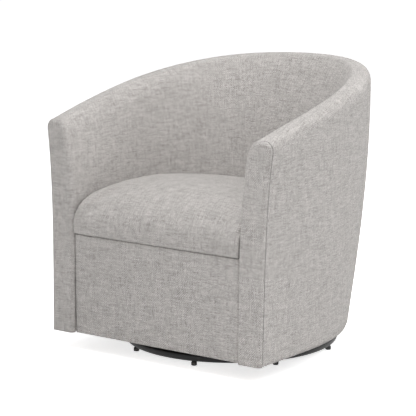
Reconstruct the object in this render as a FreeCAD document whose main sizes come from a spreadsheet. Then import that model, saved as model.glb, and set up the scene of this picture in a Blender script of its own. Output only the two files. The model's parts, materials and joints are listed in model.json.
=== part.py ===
import FreeCAD, Part
import math
import os
import Sketcher
from FreeCAD import Placement, Rotation, Vector

# Upholstered barrel chair that swivels and rocks on a low round steel base.
# Millimetres. The origin is on the floor under the middle of the chair,
# +Z is up, the chair faces -Y and its right arm, seen from the front, is at +X.

doc = FreeCAD.newDocument("SwivelRocker")
sheet = doc.addObject("Spreadsheet::Sheet", "Sizes")

# Driving dimensions: name, value and what it is
driving = [
    # Outer form of the barrel
    ("hemHeight", 53, "underside of the skirt above the floor"),
    ("crestTop", 775, "top of the back above the floor"),
    ("armTop", 642, "top of the arm at its front"),
    ("crestPower", 1.4, "how early the crest climbs from arm to back"),
    ("frontFace", -402, "front of the arms at the hem"),
    ("backFace", 402, "where the crest would reach its full height"),
    ("frontLean", 13.8, "how far the arm fronts lean back over the full height"),
    ("shoulderPlace", -175.5, "where the straight arm turns into the round back"),
    ("armFoot", 72, "thickness of an arm at the hem, at the shoulder"),
    ("sideFlare", 29, "how much the sides open out towards the top"),
    ("armFrontFoot", 70, "thickness of an arm at the hem, at its front"),
    ("frontFlare", 4.8, "steady flare of the arm front"),
    ("frontKick", 48.5, "extra flare near the top of the arm front"),
    ("backFoot", 147.5, "from the back of the seat to the back of the hem"),
    ("backFlare", 237, "how much the back opens out with height"),
    ("backTuck", 142, "how the back draws in again near the top"),
    ("roundness", 2.1, "exponent of the back's plan curve"),
    # Crest and inner wall
    ("outerRound", 27, "height of the outer rounding of the crest"),
    ("innerRound", 43, "height of the inner rounding of the crest"),
    ("crestOuter", 22, "from the outer face to the flat of the crest"),
    ("crestInner", 49, "from the outer face to the end of that flat"),
    ("crestSag", 1, "how much the flat falls inwards"),
    ("outerBend", 0.27, "share of the outer rounding's width at its middle"),
    ("outerBendDrop", 0.28, "share of the outer rounding's height above its middle"),
    ("innerBend", 0.58, "share of the inner rounding's width at its middle"),
    ("innerBendDrop", 0.38, "share of the inner rounding's height above its middle"),
    ("armThick", 75, "thickness of the arm below its crest"),
    ("backThick", 90, "thickness of the back below its crest"),
    ("seatHalfWidth", 280, "half width between the arms at the seat"),
    ("seatCentre", -124.5, "centre of the round back of the seat"),
    ("seatLevel", 430, "height where the inner wall meets the cushion"),
    ("innerDraw", 3.5, "how much the inner wall closes in below the cushion"),
    ("armBulge", 2, "swell of the inner face of an arm"),
    ("backBulge", 8, "swell of the inner face of the back"),
    # Layers of the wall
    ("coverThick", 5, "fabric with its wadding"),
    ("boardThick", 4, "board behind the outer cover"),
    ("armPad", 18, "padding on the inside of an arm"),
    ("backPad", 40, "padding on the inside of the back"),
    ("layerGap", 0.3, "clearance between two layers"),
    ("padBottom", 323, "lower edge of the inside padding"),
    ("coverSplit", 38, "angle round the back where the side covers end"),
    ("frontPanel", 14, "thickness of the arm front panel"),
    ("frontRound", 11, "rounding of the arm front panel"),
    # Seat cushion and deck
    ("cushionBottom", 331, "seam between cushion and apron"),
    ("cushionFront", -394.5, "front of the cushion"),
    ("cushionNose", 363, "height where the front starts to round over"),
    ("cushionEdge", 445, "height of the cushion along the arms"),
    ("cushionRoll", 165, "depth of the rounding at the front"),
    ("cushionCrown", 36, "rise of the cushion in its middle"),
    ("cushionLeast", 2, "least rise of the cushion, along its front"),
    ("cushionDrop", 27, "fall of the cushion's edge towards the back"),
    ("cushionCorner", 10, "rounding of the cushion's long edges"),
    ("deckThick", 8, "felt deck under the cushion"),
    ("deckGap", 0.9, "clearance over and round the deck"),
    # Apron
    ("apronFront", -390, "front of the apron"),
    ("apronThick", 14, "thickness of the apron's padding"),
    ("apronGap", 3, "gap between apron and arm"),
    ("apronTopGap", 1.5, "gap between apron and cushion"),
    ("apronRound", 9, "rounding of the apron's upright edges"),
    ("apronBoard", 8, "board behind the apron"),
    # Wooden frame
    ("railThick", 25, "thickness of the seat rails"),
    ("railTop", 315, "top of the seat rails"),
    ("railInset", 70, "from the inside of an arm to the outside of a side rail"),
    ("railBackInset", 35.5, "from the back of the seat to the front of the back rail"),
    ("floorHeight", 104, "underside of the bottom board"),
    ("floorThick", 15, "thickness of the bottom board"),
    ("floorHoleWidth", 175, "half width of the hole in the bottom board"),
    ("floorHoleMargin", 20, "bottom board in front of and behind its hole"),
    ("postDepth", 43, "depth of an arm post"),
    ("postBottom", 56, "foot of an arm post"),
    ("ribThick", 18, "thickness of the ribs"),
    ("ribGap", 1.7, "clearance round the ribs and posts"),
    ("ribTopGap", 2.4, "clearance of the ribs under the sloping crest rail"),
    ("ribAngle", 75, "angle of the inner back ribs"),
    ("cornerRibAngle", 38, "angle of the corner ribs"),
    ("crestRailWidth", 22, "width of the rail under the crest"),
    ("crestRailHeight", 30, "height of the rail under the crest"),
    ("dustThick", 1, "dust cover under the frame"),
    ("dustHoleWidth", 125, "half width of the hole in the dust cover"),
    ("dustHoleDepth", 125, "half depth of the hole in the dust cover"),
    # Seat springs
    ("springCount", 5, "zigzag springs under the seat"),
    ("springPitch", 80, "distance between the zigzag springs"),
    ("springWire", 1.8, "radius of the zigzag springs' wire"),
    ("clipRoof", 1.5, "spring clip above the wire"),
    ("springSwing", 20, "half width of the zigzag"),
    ("zigzagTurns", 20, "turns of each zigzag"),
    ("clipWidth", 14, "width of a spring clip"),
    ("clipDepth", 14, "depth of a spring clip"),
    # Round base
    ("axisPlace", -40, "swivel axis along the chair"),
    ("ringRadius", 287, "radius of the base ring"),
    ("tubeRadius", 12.5, "radius of the ring's tube"),
    ("tubeWall", 2, "wall of the ring's tube"),
    ("ringHeight", 24, "centre of the ring's tube above the floor"),
    ("glideRadius", 8, "radius of a glide"),
    ("glideSoft", 2, "rounding of a glide's foot"),
    ("glideSaddle", 6, "radius of a glide where it meets the tube"),
    ("glideBevel", 3, "height of the slope up to the tube"),
    ("glideStem", 4, "radius of a glide's stem"),
    ("glideStemTop", 17, "top of a glide's stem"),
    ("glideCount", 8, "glides under the ring"),
    ("glideTurn", 15.5, "angle of the first glide"),
    ("armBar", 25, "width of a cross arm"),
    ("armBarHeight", 12, "height of a cross arm"),
    ("armBarWall", 2, "wall of a cross arm"),
    ("armBarStart", 24, "where a cross arm starts at the hub"),
    # Hub and bearing
    ("hubRadius", 75, "radius of the hub plate"),
    ("plateThick", 4, "thickness of the steel plates"),
    ("raceInner", 38, "inner radius of the bearing races"),
    ("raceOuter", 66, "outer radius of the bearing races"),
    ("raceHeight", 7.5, "height of a bearing race"),
    ("raceGap", 2, "gap between the two races"),
    ("ballRadius", 4.5, "radius of a bearing ball"),
    ("ballCount", 18, "balls in the bearing"),
    ("ballPlay", 0.05, "clearance of a ball in the lower race"),
    ("raceLift", 0.3, "clearance of a ball under the upper race"),
    ("cageThick", 1, "thickness of the ball retainer"),
    ("cageWidth", 7.5, "half width of the ball retainer"),
    ("boltRadius", 6, "radius of the king bolt"),
    ("boltHead", 10, "corner radius of the king bolt's head"),
    ("boltHeadHeight", 7, "height of the king bolt's head"),
    ("boltEnd", 3, "king bolt above its nut"),
    ("nutHeight", 9, "height of the king bolt's nut"),
    ("washerRadius", 14, "radius of the king washer"),
    ("washerThick", 2, "thickness of the king washer"),
    ("runningFit", 0.05, "radial clearance of a turning fit"),
    ("boltPlay", 0.5, "radial clearance of a bolt in its hole"),
    ("slideGap", 0.4, "clearance between sliding faces"),
    # Rocking mechanism
    ("swivelHalf", 97, "half size of the swivel plate"),
    ("bracketInside", 98, "inner face of a rocker bracket"),
    ("bracketFoot", 95, "half length of a bracket at its foot"),
    ("bracketLip", 12, "upright end of a bracket's foot"),
    ("bracketHead", 20, "radius of brackets and ears round the pivot"),
    ("headTurn", 40, "angle where that rounding ends"),
    ("earReach", 66, "half length of an ear at its top"),
    ("flangeWidth", 14, "width of a bracket's foot flange"),
    ("pivotHeight", 125, "rocking axis above the floor"),
    ("pinRadius", 8, "radius of a pivot pin"),
    ("pinHead", 13, "radius of a pivot pin's head"),
    ("pinHeadThick", 3, "thickness of a pivot pin's head"),
    ("bushWall", 2, "wall of a pivot bush"),
    ("bushFlange", 1.4, "thickness of a pivot bush's flange"),
    ("bushFlangeRadius", 13, "radius of a pivot bush's flange"),
    ("earGap", 2, "gap between bracket and ear"),
    ("strapWidth", 46, "width of a spring strap"),
    ("springPlace", 80, "rocking springs in front of and behind the pivot"),
    ("springSide", 46, "rocking springs left and right of the middle"),
    ("coilRadius", 19, "radius of a rocking spring"),
    ("coilWire", 2.4, "radius of a rocking spring's wire"),
    ("coilTurns", 7, "turns of a rocking spring"),
    ("cupRadius", 25, "radius of a spring cup"),
    ("cupThick", 2, "thickness of a spring cup"),
    ("cupBoss", 14, "radius of a spring cup's boss at its foot"),
    ("cupBossEnd", 12, "radius of a spring cup's boss at its end"),
    ("cupBossHeight", 6, "height of a spring cup's boss"),
    ("earRise", 25, "underside of the top plate above the rocking axis"),
    ("topPlateHalf", 104, "half length of the top plate"),
    ("slatInside", 62, "inner face of a mounting slat"),
    ("slatWidth", 56, "width of a mounting slat"),
    ("slatThick", 25, "thickness of a mounting slat"),
    ("mountBoltRadius", 4, "radius of a mounting bolt"),
    ("mountBoltHead", 8, "radius of a mounting bolt's head"),
    ("mountBoltHeadHeight", 4, "height of a mounting bolt's head"),
    ("mountBoltEnd", 2, "mounting bolt below its nut"),
    ("mountBoltSide", 84, "mounting bolts left and right of the middle"),
    ("mountBoltPlace", 50, "mounting bolts in front of and behind the pivot"),
    ("mountNut", 7, "corner radius of a mounting nut"),
    ("mountNutHeight", 6, "height of a mounting nut"),
]
for row, (alias, number, note) in enumerate(driving, start=1):
    sheet.set("A%d" % row, alias)
    sheet.set("B%d" % row, str(number))
    sheet.set("C%d" % row, note)
    sheet.setAlias("B%d" % row, alias)
doc.recompute()


class Size:
    """A length that carries its formula in the sheet and its present value."""

    def __init__(self, formula, value):
        self.formula = formula
        self.value = value

    def joined(self, sign, other, value, swapped=False):
        mine, theirs = self.formula, other.formula if isinstance(other, Size) else str(other)
        if swapped:
            mine, theirs = theirs, mine
        return Size("(%s %s %s)" % (mine, sign, theirs), value)

    def __add__(self, other):
        return self.joined("+", other, self.value + float(other))

    def __radd__(self, other):
        return self.joined("+", other, float(other) + self.value, True)

    def __sub__(self, other):
        return self.joined("-", other, self.value - float(other))

    def __rsub__(self, other):
        return self.joined("-", other, float(other) - self.value, True)

    def __mul__(self, other):
        return self.joined("*", other, self.value * float(other))

    def __rmul__(self, other):
        return self.joined("*", other, float(other) * self.value, True)

    def __truediv__(self, other):
        return self.joined("/", other, self.value / float(other))

    def __neg__(self):
        return Size("(0 - %s)" % self.formula, -self.value)

    def __float__(self):
        return self.value


class Sizes:
    """Every driving dimension under its own name, and the sizes that follow from them."""

    def __init__(self):
        for alias, number, note in driving:
            setattr(self, alias, Size("Sizes." + alias, float(getattr(sheet, alias))))
        seatBack = self.seatCentre + self.seatHalfWidth
        self.sideWidth = self.seatHalfWidth + self.armFoot
        self.frontWidth = self.seatHalfWidth + self.armFrontFoot
        self.backReach = seatBack + self.backFoot - self.shoulderPlace
        self.railHalfWidth = self.seatHalfWidth - self.railInset
        self.railBack = seatBack - self.railBackInset
        self.topPlateHeight = self.pivotHeight + self.earRise


d = Sizes()
built = []


def keep(item, label):
    """Gives a finished sub-part its name and puts it on the list to export."""
    item.Label = label
    built.append(item)
    return item


def bind(item, prop, size):
    """Ties a property to the sheet, or sets it where the size is a plain number."""
    if isinstance(size, Size):
        item.setExpression(prop, size.formula)
    elif prop.startswith("Placement.Base."):
        item.setExpression(prop, str(size))
    else:
        setattr(item, prop, size)


def place(item, x=0, y=0, z=0):
    bind(item, "Placement.Base.x", x)
    bind(item, "Placement.Base.y", y)
    bind(item, "Placement.Base.z", z)
    return item


def block(name, length, width, height, x, y, z):
    """A box, given its sizes and its lowest corner."""
    box = doc.addObject("Part::Box", name)
    bind(box, "Length", length)
    bind(box, "Width", width)
    bind(box, "Height", height)
    return place(box, x, y, z)


def rod(name, radius, height, x=0, y=0, z=0, turn=None):
    """A cylinder; turn is an optional rotation about its foot."""
    cylinder = doc.addObject("Part::Cylinder", name)
    bind(cylinder, "Radius", radius)
    bind(cylinder, "Height", height)
    if turn:
        cylinder.Placement = Placement(Vector(), turn)
    return place(cylinder, x, y, z)


def hexagon(name, corner, height, x=0, y=0, z=0):
    prism = doc.addObject("Part::Prism", name)
    prism.Polygon = 6
    bind(prism, "Circumradius", corner)
    bind(prism, "Height", height)
    return place(prism, x, y, z)


def fused(name, *items):
    joined = doc.addObject("Part::MultiFuse", name)
    joined.Shapes = list(items)
    return joined


def cut(name, base, *tools):
    """The base with one or more tools taken out of it."""
    result = doc.addObject("Part::Cut", name)
    result.Base = base
    result.Tool = tools[0] if len(tools) == 1 else fused(name + "_tools", *tools)
    return result


def feature(label, shape):
    """A sub-part whose shape is worked out below, from the sheet's values."""
    item = doc.addObject("Part::Feature", label)
    item.Shape = shape
    item.Placement = Placement()
    return keep(item, label)


def originPlane(body, role):
    for item in body.Origin.OriginFeatures:
        if item.Role == role:
            return item


def newSketch(body, name, role="XY_Plane"):
    sketch = body.newObject("Sketcher::SketchObject", name)
    sketch.AttachmentSupport = [(originPlane(body, role), "")]
    sketch.MapMode = "FlatFace"
    return sketch


def limit(sketch, size, *terms):
    """Adds one dimension to a sketch and ties it to the sheet."""
    index = sketch.addConstraint(Sketcher.Constraint(*terms, float(size)))
    if isinstance(size, Size):
        sketch.setExpression("Constraints[%d]" % index, size.formula)


def drawCircle(sketch, radius, x=0):
    """A circle on the sketch's first axis, at a distance x from its origin."""
    circle = Part.Circle(Vector(float(x), 0, 0), Vector(0, 0, 1), float(radius))
    index = sketch.addGeometry(circle)
    limit(sketch, radius, "Radius", index)
    if isinstance(x, Size):
        sketch.addConstraint(Sketcher.Constraint("PointOnObject", index, 3, -1))
        limit(sketch, x, "DistanceX", -1, 1, index, 3)
    else:
        sketch.addConstraint(Sketcher.Constraint("Coincident", index, 3, -1, 1))
    return index


def drawRectangle(sketch, halfWidth, halfDepth):
    """A rectangle about the sketch's origin."""
    wide, deep = float(halfWidth), float(halfDepth)
    corners = [Vector(-wide, -deep, 0), Vector(wide, -deep, 0), Vector(wide, deep, 0), Vector(-wide, deep, 0)]
    sides = [sketch.addGeometry(Part.LineSegment(corners[i], corners[(i + 1) % 4])) for i in range(4)]
    for i in range(4):
        sketch.addConstraint(Sketcher.Constraint("Coincident", sides[i], 2, sides[(i + 1) % 4], 1))
        sketch.addConstraint(Sketcher.Constraint("Horizontal" if i % 2 == 0 else "Vertical", sides[i]))
    sketch.addConstraint(Sketcher.Constraint("Symmetric", sides[0], 1, sides[1], 2, -1, 1))
    limit(sketch, halfWidth * 2, "DistanceX", sides[0], 1, sides[0], 2)
    limit(sketch, halfDepth * 2, "DistanceY", sides[1], 1, sides[1], 2)


def pad(body, sketch, length):
    sketch.Visibility = False
    result = body.newObject("PartDesign::Pad", sketch.Name + "Pad")
    result.Profile = sketch
    bind(result, "Length", length)
    return result


def ringBody(label, outer, inner, height, y, z):
    """A flat ring with its middle on the swivel axis."""
    body = doc.addObject("PartDesign::Body", label)
    sketch = newSketch(body, label + "_outline")
    drawCircle(sketch, outer)
    drawCircle(sketch, inner)
    pad(body, sketch, height)
    return keep(place(body, 0, y, z), label)


# Outline of the barrel
#
# A station is one upright cut through the wall. It is set out from a point of the
# hem, along the outward direction there, so a place in the wall is given by how far
# out it lies from the hem line and by its height.

def level(z):
    """0 at the hem and 1 at the top of the back."""
    return (z - float(d.hemHeight)) / float(d.crestTop - d.hemHeight)


def sideReach(z):
    return float(d.sideWidth) + float(d.sideFlare) * level(z)


def backReach(z):
    rise = level(z)
    return float(d.backReach) + float(d.backFlare) * rise - float(d.backTuck) * rise ** 2


def frontReach(z):
    rise = level(z)
    return float(d.frontWidth) + float(d.frontFlare) * rise + float(d.frontKick) * rise ** 4


class Station:
    """One upright cut through the wall, on the right half, or mirrored to the left."""

    def __init__(self, side=1):
        self.side = side

    def point(self, out, z):
        """The place that lies out from the hem line at height z."""
        x = self.x + self.outX * out
        y = self.y + self.outY * out + self.lean * level(z)
        return Vector(self.side * x, y, z)

    def tangent(self):
        return Vector(-self.side * self.outY, self.outX, 0)

    def crest(self):
        """Height of the crest here, from how far back it lies."""
        z = float(d.armTop)
        setback = level(z) * float(d.frontLean) + float(d.frontPanel + d.layerGap)
        start = float(d.frontFace) + setback
        depth = float(d.backFace) - start
        for step in range(4):
            y = self.point(self.outer(z) - self.crestMiddle(), z).y
            climb = min(max((y - start) / depth, 0), 1)
            z = float(d.armTop) + float(d.crestTop - d.armTop) * (1 - (1 - climb) ** float(d.crestPower))
        return z

    def crestMiddle(self):
        return float(d.crestOuter + d.crestInner) / 2

    def backness(self):
        """0 on an arm and 1 in the middle of the back."""
        return self.outY ** 2

    def mixed(self, onArm, onBack):
        return float(onArm) + (float(onBack) - float(onArm)) * self.backness()

    def outerTop(self):
        """Height where the outer face starts to round over."""
        return self.crest() - float(d.outerRound)

    def innerTop(self):
        return self.crest() - float(d.innerRound)

    def innerSeat(self):
        """Inner wall at the seat, measured like outer."""
        radius = float(d.seatHalfWidth)
        straight = (radius - self.x) / self.outX if self.outX > 0.05 else 0
        if self.outX > 0.05 and self.y + self.outY * straight <= float(d.seatCentre):
            return straight
        dx, dy = self.x, self.y - float(d.seatCentre)
        along = dx * self.outX + dy * self.outY
        return math.sqrt(along ** 2 - dx ** 2 - dy ** 2 + radius ** 2) - along

    def inner(self, z):
        """Inner wall at height z, measured like outer."""
        seat, top = float(d.seatLevel), self.innerTop()
        foot = self.innerSeat()
        head = self.outer(self.outerTop()) - self.mixed(d.armThick, d.backThick)
        if z <= seat:
            return foot - float(d.innerDraw) * (seat - z) / (seat - float(d.cushionBottom))
        rise = (z - seat) / (top - seat)
        swell = self.mixed(d.armBulge, d.backBulge) * 4 * rise * (1 - rise)
        return foot + (head - foot) * rise - swell

    def padBack(self, z):
        """Back of the inside padding at height z, measured like outer."""
        seat, top = float(d.seatLevel), self.innerTop()
        slope = (self.inner(top) - self.innerSeat()) / (top - seat)
        return self.inner(z) + self.mixed(d.armPad, d.backPad) * math.hypot(1, slope)


class ArmStation(Station):
    """A station on the straight arm: share is 0 at the shoulder and 1 at the arm front."""

    def __init__(self, share, side=1):
        Station.__init__(self, side)
        self.share = share
        wallFront = float(d.frontFace + d.frontPanel + d.layerGap)
        self.x = float(d.sideWidth)
        self.y = float(d.shoulderPlace) + (wallFront - float(d.shoulderPlace)) * share
        self.outX, self.outY = 1.0, 0.0
        self.lean = float(d.frontLean) * share

    def outer(self, z):
        return sideReach(z) + (frontReach(z) - sideReach(z)) * self.share ** 2 - self.x


class BackStation(Station):
    """A station on the round back: angle is 0 at the shoulder and 90 in the middle."""

    def __init__(self, angle, side=1):
        Station.__init__(self, side)
        power = 2 / float(d.roundness)
        self.across = max(math.cos(math.radians(angle)), 0) ** power
        self.along = math.sin(math.radians(angle)) ** power
        hem = float(d.hemHeight)
        self.x = sideReach(hem) * self.across
        self.y = float(d.shoulderPlace) + backReach(hem) * self.along
        slopeX = self.across ** (float(d.roundness) - 1) / sideReach(hem)
        slopeY = self.along ** (float(d.roundness) - 1) / backReach(hem)
        steep = math.hypot(slopeX, slopeY)
        self.outX, self.outY = slopeX / steep, slopeY / steep
        self.lean = 0.0

    def outer(self, z):
        hem = float(d.hemHeight)
        wider = (sideReach(z) - sideReach(hem)) * self.across
        deeper = (backReach(z) - backReach(hem)) * self.along
        return wider * self.outX + deeper * self.outY


armShares = [1.0, 0.72, 0.4, 0.12]
sideAngles = [6, 18, 28, float(d.coverSplit)]
backAngles = [float(d.coverSplit), 50, 62, 76, 90]


def sideStations(side):
    """From the arm front to the seam behind the arm."""
    return [ArmStation(share, side) for share in armShares] + [BackStation(a, side) for a in sideAngles]


def backStations():
    """Round the back, from the right seam to the left one."""
    right = [BackStation(angle) for angle in backAngles]
    return right + [BackStation(angle, -1) for angle in reversed(backAngles[:-1])]


def allStations():
    return sideStations(1) + backStations()[1:-1] + sideStations(-1)[::-1]


def between(low, high, count=5):
    return [low + (high - low) * i / (count - 1) for i in range(count)]


def smooth(points):
    """One smooth edge through evenly spaced points."""
    curve = Part.BSplineCurve()
    curve.interpolate(Points=points, Parameters=between(0.0, 1.0, len(points)))
    return curve.toShape()


def closed(edges):
    """Joins edges that follow each other, with straight edges where they don't meet."""
    chain = []
    for i, edge in enumerate(edges):
        chain.append(edge)
        here, there = edge.lastVertex().Point, edges[(i + 1) % len(edges)].firstVertex().Point
        if here.distanceToPoint(there) > 1e-6:
            chain.append(Part.makeLine(here, there))
    return Part.Wire(chain)


def faceEdge(station, reach, low, high, inset=0.0, count=5):
    """An edge up or down one face of the wall; inset moves it inwards."""
    return smooth([station.point(reach(z) - inset, z) for z in between(low, high, count)])


def crestEdges(station):
    """Outer rounding, flat and inner rounding of the crest, from outside to inside."""
    top, low, foot = station.crest(), station.outerTop(), station.innerTop()
    face = station.outer(low)
    outer = [
        station.point(face, low),
        station.point(face - float(d.outerBend * d.crestOuter), top - float(d.outerBendDrop * d.outerRound)),
        station.point(face - float(d.crestOuter), top),
    ]
    hip, end = face - float(d.crestInner), station.inner(foot)
    bend = hip + float(d.innerBend) * (end - hip)
    inner = [
        station.point(hip, top - float(d.crestSag)),
        station.point(bend, top - float(d.innerBendDrop * d.innerRound)),
        station.point(end, foot),
    ]
    return [smooth(outer), smooth(inner)]


def loft(wires):
    """A smooth solid through closed wires."""
    return Part.makeLoft(wires, True, False)


def outerCover(station):
    low, high = float(d.hemHeight), station.outerTop() - float(d.layerGap)
    thick = float(d.coverThick)
    return closed([faceEdge(station, station.outer, low, high),
                   faceEdge(station, station.outer, high, low, thick)])


def outerBoard(station):
    low = float(d.hemHeight + d.layerGap * 10)
    high = station.outerTop() - float(d.layerGap * 2)
    near = float(d.coverThick + d.layerGap)
    return closed([faceEdge(station, station.outer, low, high, near),
                   faceEdge(station, station.outer, high, low, near + float(d.boardThick))])


def boardBack():
    """From the outer face to the back of the board."""
    return float(d.coverThick + d.boardThick + d.layerGap * 2)


def insidePadding(station):
    """The padding inside the wall and its roll over the crest."""
    low, seat, top = float(d.padBottom), float(d.seatLevel), station.innerTop()
    shelf = station.outerTop()
    wall = faceEdge(station, station.inner, top, seat)
    skirt = Part.makeLine(station.point(station.inner(seat), seat), station.point(station.inner(low), low))
    back = [station.point(station.padBack(z), z) for z in (low, seat)]
    climb = faceEdge(station, station.padBack, seat, shelf)
    return closed(crestEdges(station) + [wall, skirt, Part.makeLine(*back), climb])


def crestRail(station):
    high = station.outerTop() - float(d.layerGap * 2)
    low = high - float(d.crestRailHeight)
    near = station.outer(low) - boardBack() - float(d.ribGap)
    far = near - float(d.crestRailWidth)
    corners = [(near, low), (near, high), (far, high), (far, low)]
    points = [station.point(out, z) for out, z in corners]
    return Part.makePolygon(points + points[:1])


def wallFiller(station, low, across):
    """A flat board upright in the wall, from the outer board to the padding and up to the crest rail."""
    high = station.outerTop() - float(d.crestRailHeight + d.ribTopGap)
    seat, gap = float(d.seatLevel), float(d.ribGap)
    outside = faceEdge(station, station.outer, low, high, boardBack() + gap)
    reach = station.padBack(seat) + gap
    top = station.point(station.padBack(high) + gap, high)
    knee, foot = station.point(reach, seat), station.point(reach, low)
    face = Part.Face(closed([outside, Part.makeLine(top, knee), Part.makeLine(knee, foot)]))
    return face.extrude(across)


def rib(station):
    across = station.tangent() * float(d.ribThick)
    body = wallFiller(station, float(d.floorHeight + d.floorThick), across)
    body.translate(across * -0.5)
    return body


def barrelCovers():
    for side, word in ((1, "right"), (-1, "left")):
        feature("outer_cover_" + word, loft([outerCover(s) for s in sideStations(side)]))
        feature("shell_board_" + word, loft([outerBoard(s) for s in sideStations(side)]))
        feature("inside_pad_" + word, loft([insidePadding(s) for s in sideStations(side)]))
    feature("outer_cover_back", loft([outerCover(s) for s in backStations()]))
    feature("shell_board_back", loft([outerBoard(s) for s in backStations()]))
    feature("inside_pad_back", loft([insidePadding(s) for s in backStations()]))


def armFronts():
    """The padded panel that closes the front of each arm, rounded towards the front."""
    for side, word in ((1, "right"), (-1, "left")):
        station = ArmStation(1.0, side)
        low, seat = float(d.hemHeight), float(d.seatLevel)
        inside = station.inner(float(d.cushionBottom))
        outside = faceEdge(station, station.outer, low, station.outerTop())
        wall = faceEdge(station, station.inner, station.innerTop(), seat)
        draw = [station.point(station.inner(z), z) for z in (seat, float(d.cushionBottom))]
        foot = station.point(inside, low)
        inward = [wall, Part.makeLine(*draw), Part.makeLine(draw[1], foot)]
        rear = closed([outside] + crestEdges(station) + inward)
        rear.translate(Vector(0, -float(d.layerGap), 0))
        panel = Part.Face(rear).extrude(Vector(0, -float(d.frontPanel), 0))
        front = [e for e in panel.Edges if isFrontEdge(e, low)]
        feature("arm_front_" + word, panel.makeFillet(float(d.frontRound), front))


def isFrontEdge(edge, low):
    """True for the edges round the front face, apart from its foot."""
    first, last = edge.Vertexes[0].Point, edge.Vertexes[-1].Point
    middle = edge.valueAt(sum(edge.ParameterRange) / 2)
    if abs(first.z - low) < 0.01 and abs(last.z - low) < 0.01:
        return False
    front, lean = float(d.frontFace), float(d.frontLean)
    return all(abs(p.y - front - lean * level(p.z)) < 0.01 for p in (first, middle, last))


# Seat

def deckOutline(radius, front, z):
    """Straight in front and round at the back."""
    centre = float(d.seatCentre)
    a, b = Vector(-radius, front, z), Vector(radius, front, z)
    c, e = Vector(radius, centre, z), Vector(-radius, centre, z)
    bow = radius * math.sqrt(0.5)
    back = Vector(0, centre + radius, z)
    arcs = [Part.Arc(c, Vector(bow, centre + bow, z), back), Part.Arc(back, Vector(-bow, centre + bow, z), e)]
    sides = [Part.makeLine(a, b), Part.makeLine(b, c)]
    return Part.Wire(sides + [arc.toShape() for arc in arcs] + [Part.makeLine(e, a)])


def seatDeck():
    radius = float(d.seatHalfWidth - d.innerDraw - d.deckGap)
    front = float(d.apronFront + d.apronThick + d.apronBoard + d.layerGap * 2)
    low = float(d.cushionBottom - d.deckGap - d.deckThick)
    face = Part.Face(deckOutline(radius, front, low))
    feature("seat_deck", face.extrude(Vector(0, 0, float(d.deckThick))))


def cushionEdgeHeight(y):
    """Height of the cushion where it meets the arm."""
    depth = y - float(d.cushionFront)
    roll = min(depth / float(d.cushionRoll), 1)
    nose, edge = float(d.cushionNose), float(d.cushionEdge)
    height = nose + (edge - nose) * (1 - (1 - roll) ** 2) ** (1 / 3)
    back = (y - float(d.seatCentre)) / float(d.seatHalfWidth)
    return height - float(d.cushionDrop) * max(back, 0) ** 2


def cushionSection(y, halfWidth):
    """Across the cushion: flat below, upright sides and a crowned top."""
    low, edge, corner = float(d.cushionBottom), cushionEdgeHeight(y), float(d.cushionCorner)
    spread = min((y - float(d.cushionFront)) / float(d.cushionRoll), 1)
    narrow = halfWidth / float(d.seatHalfWidth)
    crown = float(d.cushionLeast) + float(d.cushionCrown) * math.sqrt(spread) * narrow ** 2
    flat, bend = halfWidth - corner, corner * (1 - math.sqrt(0.5))
    half = [
        Part.makeLine(Vector(0, y, low), Vector(flat, y, low)),
        Part.Arc(Vector(flat, y, low), Vector(halfWidth - bend, y, low + bend),
                 Vector(halfWidth, y, low + corner)).toShape(),
        Part.makeLine(Vector(halfWidth, y, low + corner), Vector(halfWidth, y, edge - corner)),
        Part.Arc(Vector(halfWidth, y, edge - corner), Vector(halfWidth - bend, y, edge - bend),
                 Vector(flat, y, edge)).toShape(),
        crownEdge(y, flat, edge, crown),
    ]
    other = [mirrored(edge, -1) for edge in half]
    return Part.Wire(Part.__sortEdges__(half + other))


def crownEdge(y, flat, edge, crown):
    """From the cushion's rounded edge up to its middle."""
    shares = between(1.0, 0.0)
    return smooth([Vector(flat * share, y, edge + crown * (1 - share ** 2)) for share in shares])


def seatCushion():
    """Rounded over in front, crowned in the middle, round at the back."""
    radius = float(d.seatHalfWidth - d.innerDraw - d.deckGap)
    front, centre = float(d.cushionFront), float(d.seatCentre)
    roll = float(d.cushionRoll)
    shares = [1 - math.cos(math.radians(angle)) for angle in between(0, 90, 9)]
    places = [front + roll * share for share in shares]
    places = places + [(places[-1] + centre) / 2]
    wires = [cushionSection(y, radius) for y in places]
    for angle in (90, 75, 60, 45, 32, 20, 10):
        turn = math.radians(angle)
        wires.append(cushionSection(centre + radius * math.cos(turn), radius * math.sin(turn)))
    feature("seat_cushion", loft(wires))


def seatSprings():
    """Zigzag springs from the front rail to the back rail, held in clips."""
    wire, swing = float(d.springWire), float(d.springSwing)
    clipTop = float(d.cushionBottom - d.deckGap - d.deckThick - d.layerGap)
    z = clipTop - float(d.clipRoof) - wire
    front = frontRailBack() - float(d.railThick) / 2
    back = float(d.railBack + d.railThick / 2)
    turns = int(float(d.zigzagTurns))
    pitch = (back - front) / turns
    count = int(float(d.springCount))
    springs, clips = [], []
    for i in range(count):
        x = float(d.springPitch) * (i - (count - 1) / 2)
        springs.append(zigzag(x, front, z, pitch, turns, swing, wire))
        for y in (front, back):
            clips.append(springClip(x, y, z, clipTop))
    feature("seat_springs", Part.makeCompound(springs))
    feature("spring_clips", Part.makeCompound(clips))


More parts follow.
